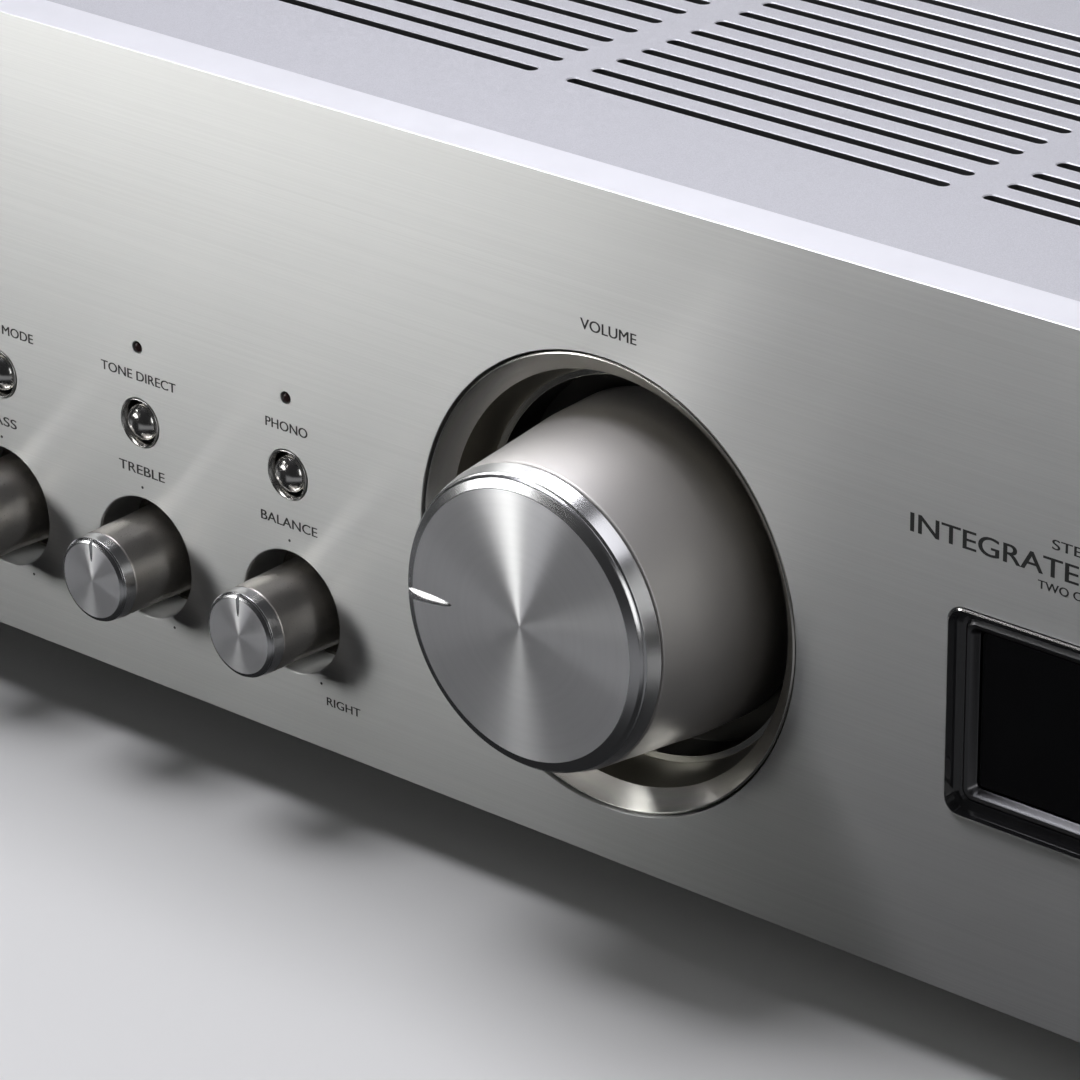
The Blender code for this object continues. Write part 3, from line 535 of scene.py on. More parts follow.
def plain_metal(name, colour, roughness, spangle=0.06):
    """Plated or bare metal with faint rolling marks and patches."""
    made, tree, shader = principled(name, colour, roughness, 1.0)
    patches = grain(tree, 90, 4, 0.6)
    marks = grain(tree, (40, 2500, 2500), 3, 0.6)
    tinted(tree, shader, patches, colour, 1 - spangle, 1 + spangle)
    roughened(tree, shader, patches, roughness * 0.85, roughness * 1.2)
    bump(tree, shader, marks, 0.01 * MM, 0.3)
    return made


def moulded(name, colour, roughness, texture=0.03, per_metre=2200):
    """Moulded plastic or rubber with a fine spark-eroded texture."""
    made, tree, shader = principled(name, colour, roughness)
    pits = grain(tree, per_metre, 3, 0.6)
    cloud = grain(tree, 50, 3, 0.5)
    tinted(tree, shader, cloud, colour, 0.85, 1.15)
    roughened(tree, shader, pits, roughness * 0.88, roughness * 1.12)
    bump(tree, shader, pits, texture * MM, 0.5)
    return made


def gloss(name, colour, roughness=0.04, **constants):
    """Glass, clear resin or high-gloss lacquer, with the faintest haze."""
    made, tree, shader = principled(name, colour, roughness, **constants)
    haze = grain(tree, 120, 3, 0.5)
    roughened(tree, shader, haze, roughness * 0.7, roughness * 1.6)
    tinted(tree, shader, haze, colour, 0.9, 1.1)
    return made


def circuit_board():
    """Green solder mask with copper runs under it and rows of soldered joints."""
    colour = (0.012, 0.085, 0.035)
    made, tree, shader = principled("circuit_board", colour, 0.38, Coat_Weight=0.3, Coat_Roughness=0.15)
    inputs = {"Vector": place_in(tree), "Scale": BOARD_CELLS_PER_METRE}
    edges = add(tree, "TexVoronoi", inputs, distance="MANHATTAN", feature="DISTANCE_TO_EDGE")
    runs = edges.outputs["Distance"]
    joints = add(tree, "TexVoronoi", inputs, feature="F1").outputs["Distance"]
    copper = blend_colours(tree, runs, (0.03, 0.17, 0.06), colour, 0.06, 0.12)
    solder = blend_colours(tree, joints, (0.55, 0.56, 0.56), (0, 0, 0), 0.10, 0.13)
    inputs = {"Factor": 1.0, "A": copper, "B": solder}
    mixed = add(tree, "Mix", inputs, data_type="RGBA", blend_type="LIGHTEN")
    feed(tree, shader.inputs["Base Color"], mixed.outputs["Result"])
    bump(tree, shader, runs, 0.1 * MM, 0.3)
    return made


def ink():
    return moulded("ink", (0.02, 0.02, 0.02), 0.6, 0.005, 4000)


def floor_material():
    colour = (0.78, 0.78, 0.77)
    made, tree, shader = principled("studio_floor", colour, 0.65)
    cloud = grain(tree, 2, 3, 0.5)
    tinted(tree, shader, cloud, colour, 0.98, 1.01)
    return made


M = {
    "panel": brushed_panel(),
    # A lighter, bluish copy of the panel's aluminium for its top face: a satin finish with a painted
    # highlight of the overhead light.
    "panel_top_satin_painted_highlight": satin("panel_top_satin_painted_highlight", (0.92, 0.92, 0.96), 0.42),
    "small_knob": satin("small_knob", (0.76, 0.725, 0.68), 0.31),
    "satin": satin("satin_aluminium", (0.78, 0.755, 0.735), 0.51, 0.98),
    "recess_ring": turned_marks("recess_ring", (0.78, 0.77, 0.73), 0.24),
    "recess_wall": satin("recess_wall", (0.33, 0.315, 0.27), 0.36),
    "tone_cup": satin("tone_cup", (0.62, 0.60, 0.54), 0.36),
    # Near-black satin for the deep wells of the recess cups: painted shade.
    "well_painted_shade": satin("well_painted_shade", (0.09, 0.087, 0.08), 0.45),
    "spun": spun_face(),
    "polished": polished("polished_aluminium"),
    "chrome": polished("chrome", (0.80, 0.79, 0.77), 0.17),
    "cover": metallic_paint(),
    "steel": plain_metal("plated_steel", (0.58, 0.58, 0.56), 0.36),
    "nickel": plain_metal("nickel", (0.62, 0.60, 0.56), 0.22, 0.03),
    "brass": plain_metal("brass", (0.74, 0.57, 0.29), 0.26, 0.05),
    "gold": plain_metal("gold_plate", (0.95, 0.70, 0.30), 0.18, 0.03),
    "fins": plain_metal("black_anodised", (0.035, 0.035, 0.037), 0.42, 0.1),
    "can": plain_metal("transformer_can", (0.42, 0.40, 0.37), 0.34),
    # This near-black paint also goes on the cover's slot walls as painted shade inside the slots.
    "rear": moulded("rear_paint", (0.028, 0.028, 0.03), 0.42, 0.04, 1600),
    "plastic": moulded("black_plastic", (0.022, 0.022, 0.022), 0.45),
    "rubber": moulded("foot_rubber", (0.028, 0.028, 0.028), 0.75, 0.05, 1500),
    "sleeve": gloss("capacitor_sleeve", (0.02, 0.025, 0.07), 0.28),
    "red": moulded("red_plastic", (0.45, 0.02, 0.02), 0.35, 0.02),
    "white": moulded("white_plastic", (0.75, 0.74, 0.70), 0.40, 0.02),
    "gloss_black": gloss("gloss_black", (0.012, 0.012, 0.013), 0.05, Coat_Weight=0.5),
    "glass": gloss("dark_glass", (0.003, 0.003, 0.0035), 0.03, Coat_Weight=0.3),
    "frame_metal": satin("frame_metal", (0.13, 0.13, 0.135), 0.34),
    "lens": gloss("indicator_lens", (0.02, 0.008, 0.008), 0.12),
    "board": circuit_board(),
    "ink": ink(),
}


# --- Stage ---


def camera():
    data = bpy.data.cameras.new("camera")
    data.lens = LENS_MM
    data.sensor_width = SENSOR_MM
    data.clip_start = 0.05
    obj = bpy.data.objects.new("camera", data)
    aim = on_panel("volume_shaft") + CAMERA_AIM_FROM_VOLUME
    facing = (aim - CAMERA_PLACE).to_track_quat("-Z", "Y").to_matrix().to_4x4()
    roll = Matrix.Rotation(math.radians(CAMERA_ROLL_DEG), 4, "Z")
    obj.matrix_world = Matrix.Translation(CAMERA_PLACE) @ facing @ roll
    bpy.context.scene.collection.objects.link(obj)
    bpy.context.scene.camera = obj


def softbox(name, direction, distance, size, power, colour=(1, 1, 1), aside=(0, 0), spread=180):
    """A rectangular light that stands in a direction from the volume knob.

    It faces a place that is (x, z) aside from the knob, and spreads over so many degrees.
    """
    data = bpy.data.lights.new(name, "AREA")
    data.shape = "RECTANGLE"
    data.size, data.size_y = size
    data.energy = power
    data.color = colour
    data.spread = math.radians(spread)
    obj = bpy.data.objects.new(name, data)
    knob = on_panel("volume_shaft")
    obj.location = knob + Vector(direction).normalized() * distance
    target = knob + Vector((aside[0], 0, aside[1]))
    obj.rotation_mode = "QUATERNION"
    obj.rotation_quaternion = (target - obj.location).to_track_quat("-Z", "Y")
    obj.visible_camera = False
    bpy.context.scene.collection.objects.link(obj)


def studio_world():
    """A dark studio with a low glow in front, on both sides of the direction that the panel mirrors."""
    world = bpy.data.worlds.new("studio")
    world.use_nodes = True
    tree = world.node_tree
    direction = add(tree, "TexCoord").outputs["Generated"]
    parts = add(tree, "SeparateXYZ", {"Vector": direction}).outputs

    def away(part, middle):
        return maths(tree, "ABSOLUTE", maths(tree, "SUBTRACT", part, middle))

    beside = between(tree, away(parts["X"], GLOW_MIDDLE_X), 0, 1, 0.14, 0.24)
    low = between(tree, away(parts["Z"], GLOW_MIDDLE_Z), 1, 0, 0.10, 0.22)
    ahead = between(tree, parts["Y"], 1, 0, -0.25, 0)
    glow = maths(tree, "MULTIPLY", maths(tree, "MULTIPLY", beside, low), ahead)
    background = tree.nodes["Background"]
    background.inputs["Color"].default_value = (*STUDIO_COLOUR, 1)
    feed(tree, background.inputs["Strength"], between(tree, glow, STUDIO_DARK, STUDIO_GLOW, 0, 1))
    bpy.context.scene.world = world


def lights():
    studio_world()
    softbox("key", (-0.60, -0.43, 0.25), 0.77, (0.46, 0.36), 0.149, WARM_WHITE, (-0.17, 0.18), 33)
    softbox("high", (-0.66, -0.40, 0.50), 0.80, (0.40, 0.24), 0.112, WARM_WHITE, (-0.05, 0.22), 26)
    softbox("side", (-0.15, -0.55, 0.38), 0.75, (0.40, 0.25), 0.048, WARM_WHITE, (0.18, 0.18), 24)
    softbox("over", (-0.35, 0.03, 0.94), 0.8, (0.5, 0.4), 5.4, COOL_WHITE)
    softbox("over_right", (0.50, 0.12, 0.85), 1.0, (0.5, 0.5), 1.0, COOL_WHITE)
    softbox("top", (-0.52, 0.42, 0.74), 1.6, (1.3, 1.0), 6.5, COOL_WHITE)
    softbox("right", (0.85, -0.35, 0.25), 1.5, (0.8, 0.8), 3)
    softbox("rear", (0.50, 0.80, 0.35), 2.2, (1.2, 1.2), 7)


def floor():
    shape = bmesh.new()
    bmesh.ops.create_grid(shape, x_segments=4, y_segments=4, size=FLOOR_REACH)
    obj = linked("floor", shape)
    obj.data.materials.append(floor_material())
    obj.visible_glossy = False


# --- Front panel ---


def hole(place, radius, ease, segments):
    """A cutter for a hole through the panel whose mouth is rounded."""
    mouth = arc(radius + ease, ease, ease, -90, -180, 4)
    front = -BEYOND
    back = PANEL_THICK + BEYOND
    profile = [(0, front), (radius + ease, front), *mouth, (radius, back), (0, back)]
    return moved(spun(profile, segments), place)


def front_panel():
    obj = linked("front_panel_plate", block(PANEL_LOW, PANEL_HIGH, 0.15 * MM, 3))
    cutters = []
    for nodes, radius, ease, segments in PANEL_HOLES:
        cutters += [hole(on_panel(node), radius * MM, ease * MM, segments) for node in nodes]
    low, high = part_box("display_frame")
    gap = 0.15 * MM
    outline = rounded_outline((low.x - gap, high.x + gap), (low.z - gap, high.z + gap), 3 * MM + gap)
    cutters.append(prism(outline, PANEL_LOW.y - BEYOND, PANEL_HIGH.y + BEYOND))
    carve(obj, cutters)
    # The top face is painted lighter and bluer than the front: painted highlight of the overhead light.
    paint(obj, 1, lambda middle, normal: middle.z > PANEL_HIGH.z - 0.1 * MM and normal.z > 0.7)
    finished(obj, "root", [M["panel"], M["panel_top_satin_painted_highlight"]], ["front_panel"])


def recess_cup(node, scale, segments):
    """The bevelled ring in the panel's bore, the wall behind it, a narrow step and the well, whose
    near-black colour is painted shade.
    """
    ring = 40.6 * scale
    inner = 34.9 * scale
    well = 33.7 * scale
    profile = [
        (ring - 0.35, 0.15), (ring, 0.4), (ring, 9.3), (inner + 1.1, 9.3), (inner + 1.1, 11.5),
        (well + 0.8, 11.5), (well + 0.8, 19.2), (5, 19.2), (5, 18), (well, 18), (well, 10.3),
        (inner, 10.3), (36.8 * scale, 3.2 * scale),
    ]
    obj = linked(f"{node}_turned", lathe(profile, 0.12, segments), on_panel(node))
    bevel_depth = 3.2 * scale * MM
    step_depth = 10.3 * MM
    paint(obj, 1, lambda middle, normal: middle.y > bevel_depth and normal.y > -0.95)
    # The well behind the step is painted near-black: painted shade deep in the cup.
    paint(obj, 2, lambda middle, normal: middle.y > step_depth + 0.2 * MM)
    materials = [M["recess_ring"], M["recess_wall"], M["well_painted_shade"]]
    finished(obj, "root", materials, [node])


def tone_recesses():
    """One strip with the three cups that the tone knobs turn in."""
    node = "tone_recess_strip"
    low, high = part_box(node)
    strip = linked("tone_recess_cups", block(low, (high.x, low.y + 0.8 * MM, high.z), 0.1 * MM))
    well = [(0, 8), (11.2, 8), (11.2, 13.4), (10.6, 14), (4.2, 14), (4.2, 17), (0, 17)]
    outsides = []
    wells = []
    for name in TONE_NAMES:
        place = on_panel(f"{name}_shaft")
        outsides.append(moved(disc(12 * MM, 10.2 * MM, 15.2 * MM, 128), place))
        wells.append(moved(lathe(well, 0.1, 128), place))
    carve(strip, outsides, "UNION")
    carve(strip, wells)
    finished(strip, "root", [M["tone_cup"]], [node])


# --- Display ---


def display_frame():
    """A thin bright lip, a gloss groove and a satin ridge that steps down to the window."""
    low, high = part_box("display_frame")

    def ring(inset, depth):
        outline = rounded_outline(
            (low.x + inset * MM, high.x - inset * MM),
            (low.z + inset * MM, high.z - inset * MM),
            max(3 - 0.46 * inset, 0.6) * MM,
        )
        return (PANEL_FRONT + depth * MM, outline)

    outer = [ring(0.3, -0.4), ring(0.12, -0.28), ring(0, 0), ring(0, 8.6)]
    obj = linked("display_bezel", stacked(outer))
    profile = ((0.35, -1.4), (0.35, -0.42), (0.55, 0.2), (0.9, 1.2), (1.6, 1.8), (2.2, 1.9), (2.55, 1.55))
    profile += ((2.9, 1.3), (3.45, 1.4), (3.85, 1.85), (4.1, 2.6), (4.3, 2.9), (4.3, 9.6))
    carve(obj, [stacked([ring(*point) for point in profile])])
    behind_ridge = PANEL_FRONT + 2.95 * MM

    def inset(middle):
        return min(middle.x - low.x, high.x - middle.x, middle.z - low.z, high.z - middle.z)

    paint(obj, 1, lambda middle, normal: normal.y < -0.05 or middle.y < behind_ridge)
    paint(obj, 0, lambda middle, normal: inset(middle) > 2.25 * MM and middle.y < behind_ridge)
    paint(obj, 2, lambda middle, normal: inset(middle) < 0.4 * MM and middle.y < PANEL_FRONT)
    materials = [M["frame_metal"], M["gloss_black"], M["chrome"]]
    finished(obj, "root", materials, ["display_frame"], 25)


def display_window():
    low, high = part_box("display_window")
    edge = 0.15 * MM
    outline = rounded_outline((low.x, high.x), (low.z, high.z), 0.8 * MM)
    inner = rounded_outline((low.x + edge, high.x - edge), (low.z + edge, high.z - edge), 0.7 * MM)
    obj = linked("display_glass", stacked([(low.y, inner), (low.y + edge, outline), (high.y, outline)]))
    finished(obj, "root", [M["glass"]], ["display_window"])


# --- Knobs ---


def pointer_cutter(start, end, front, deep, degrees):
    """A V-shaped groove in a knob's face that runs out past the rim, at an angle clockwise from the top."""
    lead = 1 * MM
    slope = 0.85
    sections = []
    for step in range(9):
        share = step / 8
        depth = deep * math.sin(math.radians(90 * share)) ** 0.8
        half = slope * (depth + lead)
        along = start + (end - start) * share**1.6
        sections.append((along, [(-half, lead), (half, lead), (0, -depth)]))
    groove = stacked(sections)
    turned_about(groove, 90, "X")
    moved(groove, (0, front, 0))
    return turned_about(groove, degrees, "Y")


def on_face(front):
    return lambda middle, normal: normal.y < -0.999 and middle.y < front + 0.02 * MM


def volume_knob():
    place = on_panel("volume_shaft")
    body = [
        (0, -16.35), (26.95, -16.35), (27.9, -7.3), (28.7, 0), (29.5, 7), (29.9, 16.4), (26.3, 16.4),
        (24.5, -11.3), (7, -11.3), (7, 15), (3.2, 15), (3.2, -13.3), (0, -13.3),
    ]
    knob = linked("volume_knob_body", lathe(body, 0.3, VERY_FINE), place)
    finished(knob, "volume", [M["satin"]], ["volume_knob"])
    front = -21.1 * MM
    cap = [
        (0, -21.1), (23.8, -21.1), (25.35, -20.45), (25.75, -19.95), (25.6, -19.8), (25.72, -19.65),
        (26.05, -19.55), (26.85, -16.85), (26.5, -16.6), (0, -16.6),
    ]
    bright = linked("volume_knob_front", lathe(cap, 0.09, VERY_FINE, 3), place)
    carve(bright, [pointer_cutter(15 * MM, 29 * MM, front, 1.3 * MM, -92.5)])
    paint(bright, 1, on_face(front))
    finished(bright, "volume", [M["polished"], M["spun"]], ["volume_knob_cap"], 22)


def input_knob():
    s = INPUT_SCALE
    profile = [
        (0, -15), (23.8 * s, -15), (25.35 * s, -14.6), (25.75 * s, -14.2), (25.5 * s, -14.0),
        (25.9 * s, -13.85), (26.6 * s, -12.1), (26.3 * s, -11.95), (26.7 * s, -11.8), (28.7 * s, 0),
        (29.7 * s, 10), (29.9 * s, 16.4), (29.9 * s - 3, 16.4), (29.9 * s - 4, -9), (6, -9), (6, 15),
        (3.2, 15), (3.2, -11), (0, -11),
    ]
    front = -15 * MM
    obj = linked("input_knob_turned", lathe(profile, 0.1, 192, 3), on_panel("input_shaft"))
    carve(obj, [pointer_cutter(8 * MM, 19 * MM, front, 0.9 * MM, 0)])
    paint(obj, 1, lambda middle, normal: middle.y < -11.96 * MM)
    paint(obj, 2, on_face(front))
    materials = [M["satin"], M["polished"], M["spun"]]
    finished(obj, "input", materials, ["input_knob"], 22)


def tone_knob(name):
    profile = [
        (0, -13.4), (7.1, -13.4), (7.55, -13.15), (7.8, -12.95), (7.68, -12.85), (7.8, -12.75),
        (7.92, -12.65), (8.15, -10.5), (8.0, -10.35), (8.15, -10.2), (8.3, 0), (8.8, 12), (3.2, 12),
        (3.2, -7), (0, -7),
    ]
    front = -13.4 * MM
    obj = linked(f"{name}_knob_turned", lathe(profile, 0.08, FINE, 3), on_panel(f"{name}_shaft"))
    carve(obj, [pointer_cutter(3.6 * MM, 10 * MM, front, 0.6 * MM, 0)])
    paint(obj, 1, lambda middle, normal: middle.y < -10.34 * MM)
    paint(obj, 2, on_face(front))
    materials = [M["small_knob"], M["polished"], M["spun"]]
    finished(obj, name, materials, [f"{name}_knob"], 22)


# --- Buttons, indicators and headphone socket ---


def turned_piece(name, node, profile, ease, body, material, segments=MEDIUM):
    obj = linked(name, lathe(profile, ease, segments), on_panel(node))
    finished(obj, body, [M[material]], [node])


def push_button(name):
    collar = [(4.6, -0.25), (4.6, 8.6), (3.9, 8.6), (3.9, 1.5), (4.05, 0.5), (4.35, -0.3)]
    turned_piece(f"{name}_collar", f"{name}_bezel", collar, 0.1, "root", "chrome")
    dome = [(0, -1.3), (0.9, -1.24), (1.8, -0.98), (2.7, -0.4), (3.3, 0.3), (3.6, 1.2)]
    stem = [(3.6, 6), (1.8, 6), (1.8, 13.4), (0, 13.4)]
    body = f"{name}_push"
    turned_piece(f"{name}_cap", f"{name}_button", dome + stem, 0.5, body, "chrome")
    lens = [(0, -0.2), (0.5, -0.1), (0.85, 0.15), (1.0, 0.5), (1.0, 14), (0, 14)]
    turned_piece(f"{name}_lens", f"{name}_indicator", lens, 0.3, "root", "lens", 48)


def power_controls():
    collar = [(9, -0.25), (9, 8.6), (7.7, 8.6), (7.7, 1.2), (8.2, 0.3), (8.7, -0.3)]
    turned_piece("power_collar", "power_bezel", collar, 0.12, "root", "chrome", 128)
    cap = [(0, -2.25), (5.2, -2.4), (6.6, -2.4), (7.4, -1.7), (7.4, 6.3), (3, 6.3), (3, 14.2), (0, 14.2)]
    turned_piece("power_cap", "power_button", cap, 0.25, "power_push", "satin", 128)
    socket = [(3.3, -1.0), (6.8, -1.0), (7.2, -0.3), (5.4, -0.3), (5.4, 12), (8, 12), (8, 36), (3.3, 36)]
    turned_piece("headphone_socket", "headphone_jack", socket, 0.15, "root", "plastic")
    ring = [(4.1, -1.35), (5.3, -1.35), (5.6, -1.0), (3.45, -1.0), (3.45, -0.98)]
    obj = linked("headphone_socket_ring", lathe(ring, 0.1), on_panel("headphone_jack"))
    finished(obj, "root", [M["chrome"]])


# --- Lettering ---

# The volume knob's axis, from which the heights of the lines are measured
VOLUME_AXIS_Z = centre("volume_shaft").z
SMALL_CAP = 1.8 * MM
DOT_REACH = 13.7 * MM
INK_THICK = 0.03 * MM
FONT_EXTRUDE = 0.02


def inked(obj):
    obj.data.materials.append(M["ink"])
    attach(obj, "root")


def label(name, text, x, rise, cap_height, width, bolder=0.045 * MM):
    """A line of ink lettering: its middle X, the rise of its foot over the volume axis, and its size."""
    data = bpy.data.curves.new(name, "FONT")
    data.body = text
    data.extrude = FONT_EXTRUDE
    data.resolution_u = 6
    source = bpy.data.objects.new(f"{name}_source", data)
    bpy.context.scene.collection.objects.link(source)
    bpy.context.view_layer.update()
    evaluated = source.evaluated_get(bpy.context.evaluated_depsgraph_get())
    mesh = bpy.data.meshes.new_from_object(evaluated)
    bpy.data.objects.remove(source, do_unlink=True)
    shape = bmesh.new()
    shape.from_mesh(mesh)
    bpy.data.meshes.remove(mesh)
    bmesh.ops.remove_doubles(shape, verts=shape.verts, dist=1e-5)
    bmesh.ops.recalc_face_normals(shape, faces=shape.faces)
    xs = [vert.co.x for vert in shape.verts]
    ys = [vert.co.y for vert in shape.verts]
    shape.transform(Matrix.Translation((-(min(xs) + max(xs)) / 2, -min(ys), 0)))
    thickness = INK_THICK / (2 * FONT_EXTRUDE)
    stretch = (width / (max(xs) - min(xs)), cap_height / (max(ys) - min(ys)), thickness)
    shape.transform(Matrix.Diagonal((*stretch, 1)))
    strokes = [moved(shape.copy(), (aside, 0, 0.01 * aside)) for aside in (-bolder, bolder)]
    shape.free()
    shape = turned_about(together(strokes), 90, "X")
    inked(linked(name, shape, (x, PANEL_FRONT, VOLUME_AXIS_Z + rise)))


def lettering():
    label("label_volume", "VOLUME", 1.2 * MM, 44.9 * MM, 1.95 * MM, 12 * MM)
    words = {"bass": ("BASS", 8.2), "treble": ("TREBLE", 11.4), "balance": ("BALANCE", 13.5)}
    for name, (text, width) in words.items():
        knob = on_panel(f"{name}_shaft")
        label(f"label_{name}", text, knob.x, -10.1 * MM, SMALL_CAP, width * MM)
        for at, degrees in enumerate((0, -150, 150)):
            angle = math.radians(degrees)
            place = knob + DOT_REACH * Vector((math.sin(angle), 0, math.cos(angle)))
            inked(linked(f"dot_{name}_{at}", disc(0.27 * MM, -0.02 * MM, 0.01 * MM, 24), place))
    words = {"mode": ("STEREO MODE", 19), "direct": ("TONE DIRECT", 18.6), "phono": ("PHONO", 10)}
    for name, (text, width) in words.items():
        label(f"label_{name}", text, centre(f"{name}_button").x, 8.1 * MM, SMALL_CAP, width * MM)
    balance = centre("balance_shaft")
    rise = balance.z - VOLUME_AXIS_Z - 15.7 * MM
    for text, aside, width in (("LEFT", -12.1, 6.4), ("RIGHT", 12.1, 8.0)):
        label(f"label_{text.lower()}", text, balance.x + aside * MM, rise, 1.6 * MM, width * MM)
    x = centre("display_frame").x
    label("label_type", "INTEGRATED AMPLIFIER", x, 28.2 * MM, 3.3 * MM, 68 * MM, 0.09 * MM)
    label("label_type_above", "STEREO", x, 33.0 * MM, 1.7 * MM, 13 * MM)
    label("label_type_below", "TWO CHANNEL", x, 25.7 * MM, 1.45 * MM, 18 * MM)


# --- Case ---


def slot_outline(start, end, middle, width):
    """A slot along X with round ends."""
    half = width / 2
    outline = []
    for x, first in ((end - half, -90), (start + half, 90)):
        outline += arc(x, middle, half, first, first + 180, 12)
    return outline


def top_cover():
    """Top and both sides in one folded sheet, with three columns of vent slots."""
    out = COVER_HIGH.x
    top = COVER_HIGH.z
    bottom = COVER_LOW.z
    bend = 1.5 * MM
    inside = out - SHEET
    outline = [(-out, bottom), (-inside, bottom), (-inside, top - SHEET)]
    outline += [(inside, top - SHEET), (inside, bottom), (out, bottom)]
    for x, first in ((out - bend, 0), (bend - out, 90)):
        outline += arc(x, top - bend, bend, first, first + 90, 6)
    obj = linked("cover_sheet", stacked([(COVER_LOW.y, outline), (COVER_HIGH.y, outline)]))
    edge = 0.2 * MM
    slots = []
    for column in (-1, 0, 1):
        start = column * SLOT_COLUMN_PITCH - SLOT_LENGTH / 2
        for row in range(SLOT_ROWS):
            middle = SLOT_FIRST_ROW + row * SLOT_ROW_PITCH
            nominal = slot_outline(start, start + SLOT_LENGTH, middle, SLOT_WIDTH)
            wide = slot_outline(start - edge, start + SLOT_LENGTH + edge, middle, SLOT_WIDTH + 2 * edge)
            mouth = [(-top - SHEET, wide), (-top, wide)]
            slots.append(standing(stacked([*mouth, (edge - top, nominal), (2 * SHEET - top, nominal)])))
    carve(obj, slots)
    # The slot walls below their bright far edge take the near-black rear paint: painted shade inside the
    # slots.
    column = SLOT_COLUMN_PITCH + SLOT_LENGTH / 2 + 1 * MM
    below = top - 1.2 * edge
    paint(obj, 1, lambda place, normal: abs(place.x) < column and top - SHEET < place.z < below)
    finished(obj, "root", [M["cover"], M["rear"]], ["top_cover"])


def foot(node):
    middle = centre(node)
    profile = [
        (0, 0), (17.5, 0), (18.5, 0.6), (18.8, 2.2), (20.8, 2.4), (21.8, 3.4), (22, 6), (21.2, 6.6),
        (21.2, 7.6), (21.9, 8.2), (21.3, 15.7), (0, 15.7),
    ]
    shape = turned_about(lathe(profile, 0.35, 128), 90, "X")
    obj = linked(f"{node}_moulded", shape, (middle.x, middle.y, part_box(node)[0].z))
    paint(obj, 1, lambda place, normal: place.z > 2.3 * MM)
    finished(obj, "root", [M["rubber"], M["plastic"]], [node])


# --- Rear fittings ---


def rear_piece(name, shape, place, material, body="root", replaced=()):
    finished(linked(name, shape, place), body, [M[material]], replaced)


def rear_plate(name, node, behind_low, behind_high):
    """A moulded plate on the rear face, with a block behind it that is given by two (x, z) corners."""
    low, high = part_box(node)
    plate = block((low.x, REAR_FACE, low.z), (high.x, PLATE_FACE, high.z), 0.4 * MM)
    x, z = behind_high
    behind = block((behind_low[0], low.y, behind_low[1]), (x, REAR_FACE + 0.5 * MM, z))
    rear_piece(name, together([plate, behind]), ORIGIN, "plastic", replaced=[node])


def fluted(shape, beyond, count, deep):
    """Presses grooves along the axis into the surfaces of a spun shape that lie beyond a radius."""
    for vert in shape.verts:
        radius = math.hypot(vert.co.x, vert.co.z)
        if radius > beyond:
            wave = math.cos(count * math.atan2(vert.co.x, vert.co.z))
            share = 1 - deep * max(wave, 0) ** 0.7 / radius
            vert.co.x *= share
            vert.co.z *= share
    return shape


def jack_places():
    for column in range(JACK_COLUMNS):
        for row, z in enumerate(JACK_ROWS_Z):
            yield row, Vector((JACK_FIRST_X + column * JACK_PITCH, REAR_FACE, z))


def line_sockets():
    """The moulded plate, the plated barrels with their locking nuts, and the coloured insulators."""
    rear_plate("socket_plate", "rca_jack_bank", (-120 * MM, 78 * MM), (-14 * MM, 117 * MM))
    barrel = ([(3.45, 1.8), (4.15, 1.8), (4.15, 11), (3.45, 11)], 0.15)
    nut = ([(4.1, 1.9), (5.6, 1.9), (5.6, 3.3), (4.1, 3.3)], 0.2)
    metal = [moved(lathe(*turned, 48), place) for _, place in jack_places() for turned in (barrel, nut)]
    rear_piece("socket_barrels", together(metal), ORIGIN, "gold")
    core = [(1.65, 2.2), (3.5, 2.2), (3.5, 10.1), (2.3, 10.4), (1.65, 10.0)]
    for row, colour in enumerate(("red", "white")):
        cores = [moved(lathe(core, 0.12, COARSE), place) for at, place in jack_places() if at == row]
        rear_piece(f"socket_cores_{colour}", together(cores), ORIGIN, colour)


def earth_terminal():
    node = "ground_terminal_nut"
    place = on_rear(node)
    stud = [(0, 1.8), (1.9, 1.8), (1.9, 12.6), (1.5, 13), (0, 13)]
    rear_piece("earth_stud", lathe(stud, 0.1, COARSE), place, "nickel")
    grip = [(2.1, 3.3), (4.3, 3.3), (5, 3.9), (5, 8.3), (4.3, 9), (2.1, 9)]
    knurled = fluted(lathe(grip, 0.15, 200), 4.6 * MM, 25, 0.3 * MM)
    rear_piece("earth_nut_turned", knurled, place, "nickel", "ground_nut", [node])


def speaker_terminals():
    """The plate, coloured collars, threaded posts and the fluted caps that clamp the speaker wires."""
    node = "speaker_terminal_plate"
    middle = centre(node).z
    half = 15 * MM
    rear_plate("terminal_plate", node, (56 * MM, middle - half), (184 * MM, middle + half))
    collar = [(0, 1.8), (9, 1.8), (9, 4.4), (8.4, 5), (0, 5)]
    post = [(0, 4.8), (2, 4.8), (2, 23.4), (1.6, 24), (0, 24)]
    for at in range(1, 5):
        cap = f"speaker_terminal_cap_{at}"
        body = f"terminal_cap_{at}"
        place = on_rear(cap)
        colour = "red" if at % 2 else "plastic"
        rear_piece(f"terminal_collar_{at}", lathe(collar, 0.2), place, colour)
        rear_piece(f"terminal_post_{at}", lathe(post, 0.1, COARSE), place, "gold")
        end = (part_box(cap)[1].y - REAR_FACE) / MM
        grip = [(4.4, 5.4), (7.6, 5.4), (8.4, 6.2), (8.4, end - 1.7), (7.6, end - 0.9), (4.4, end - 0.9)]
        shape = fluted(lathe(grip, 0.25, 240), 8.1 * MM, 20, 0.55 * MM)
        rear_piece(f"{body}_grip", shape, place, colour, body, replaced=[cap])
        sleeve = [(2.3, 5.5), (4.5, 5.5), (4.5, end - 0.6), (6.4, end - 0.6), (6.4, end), (2.3, end)]
        rear_piece(f"{body}_sleeve", lathe(sleeve, 0.15), place, "gold", body)


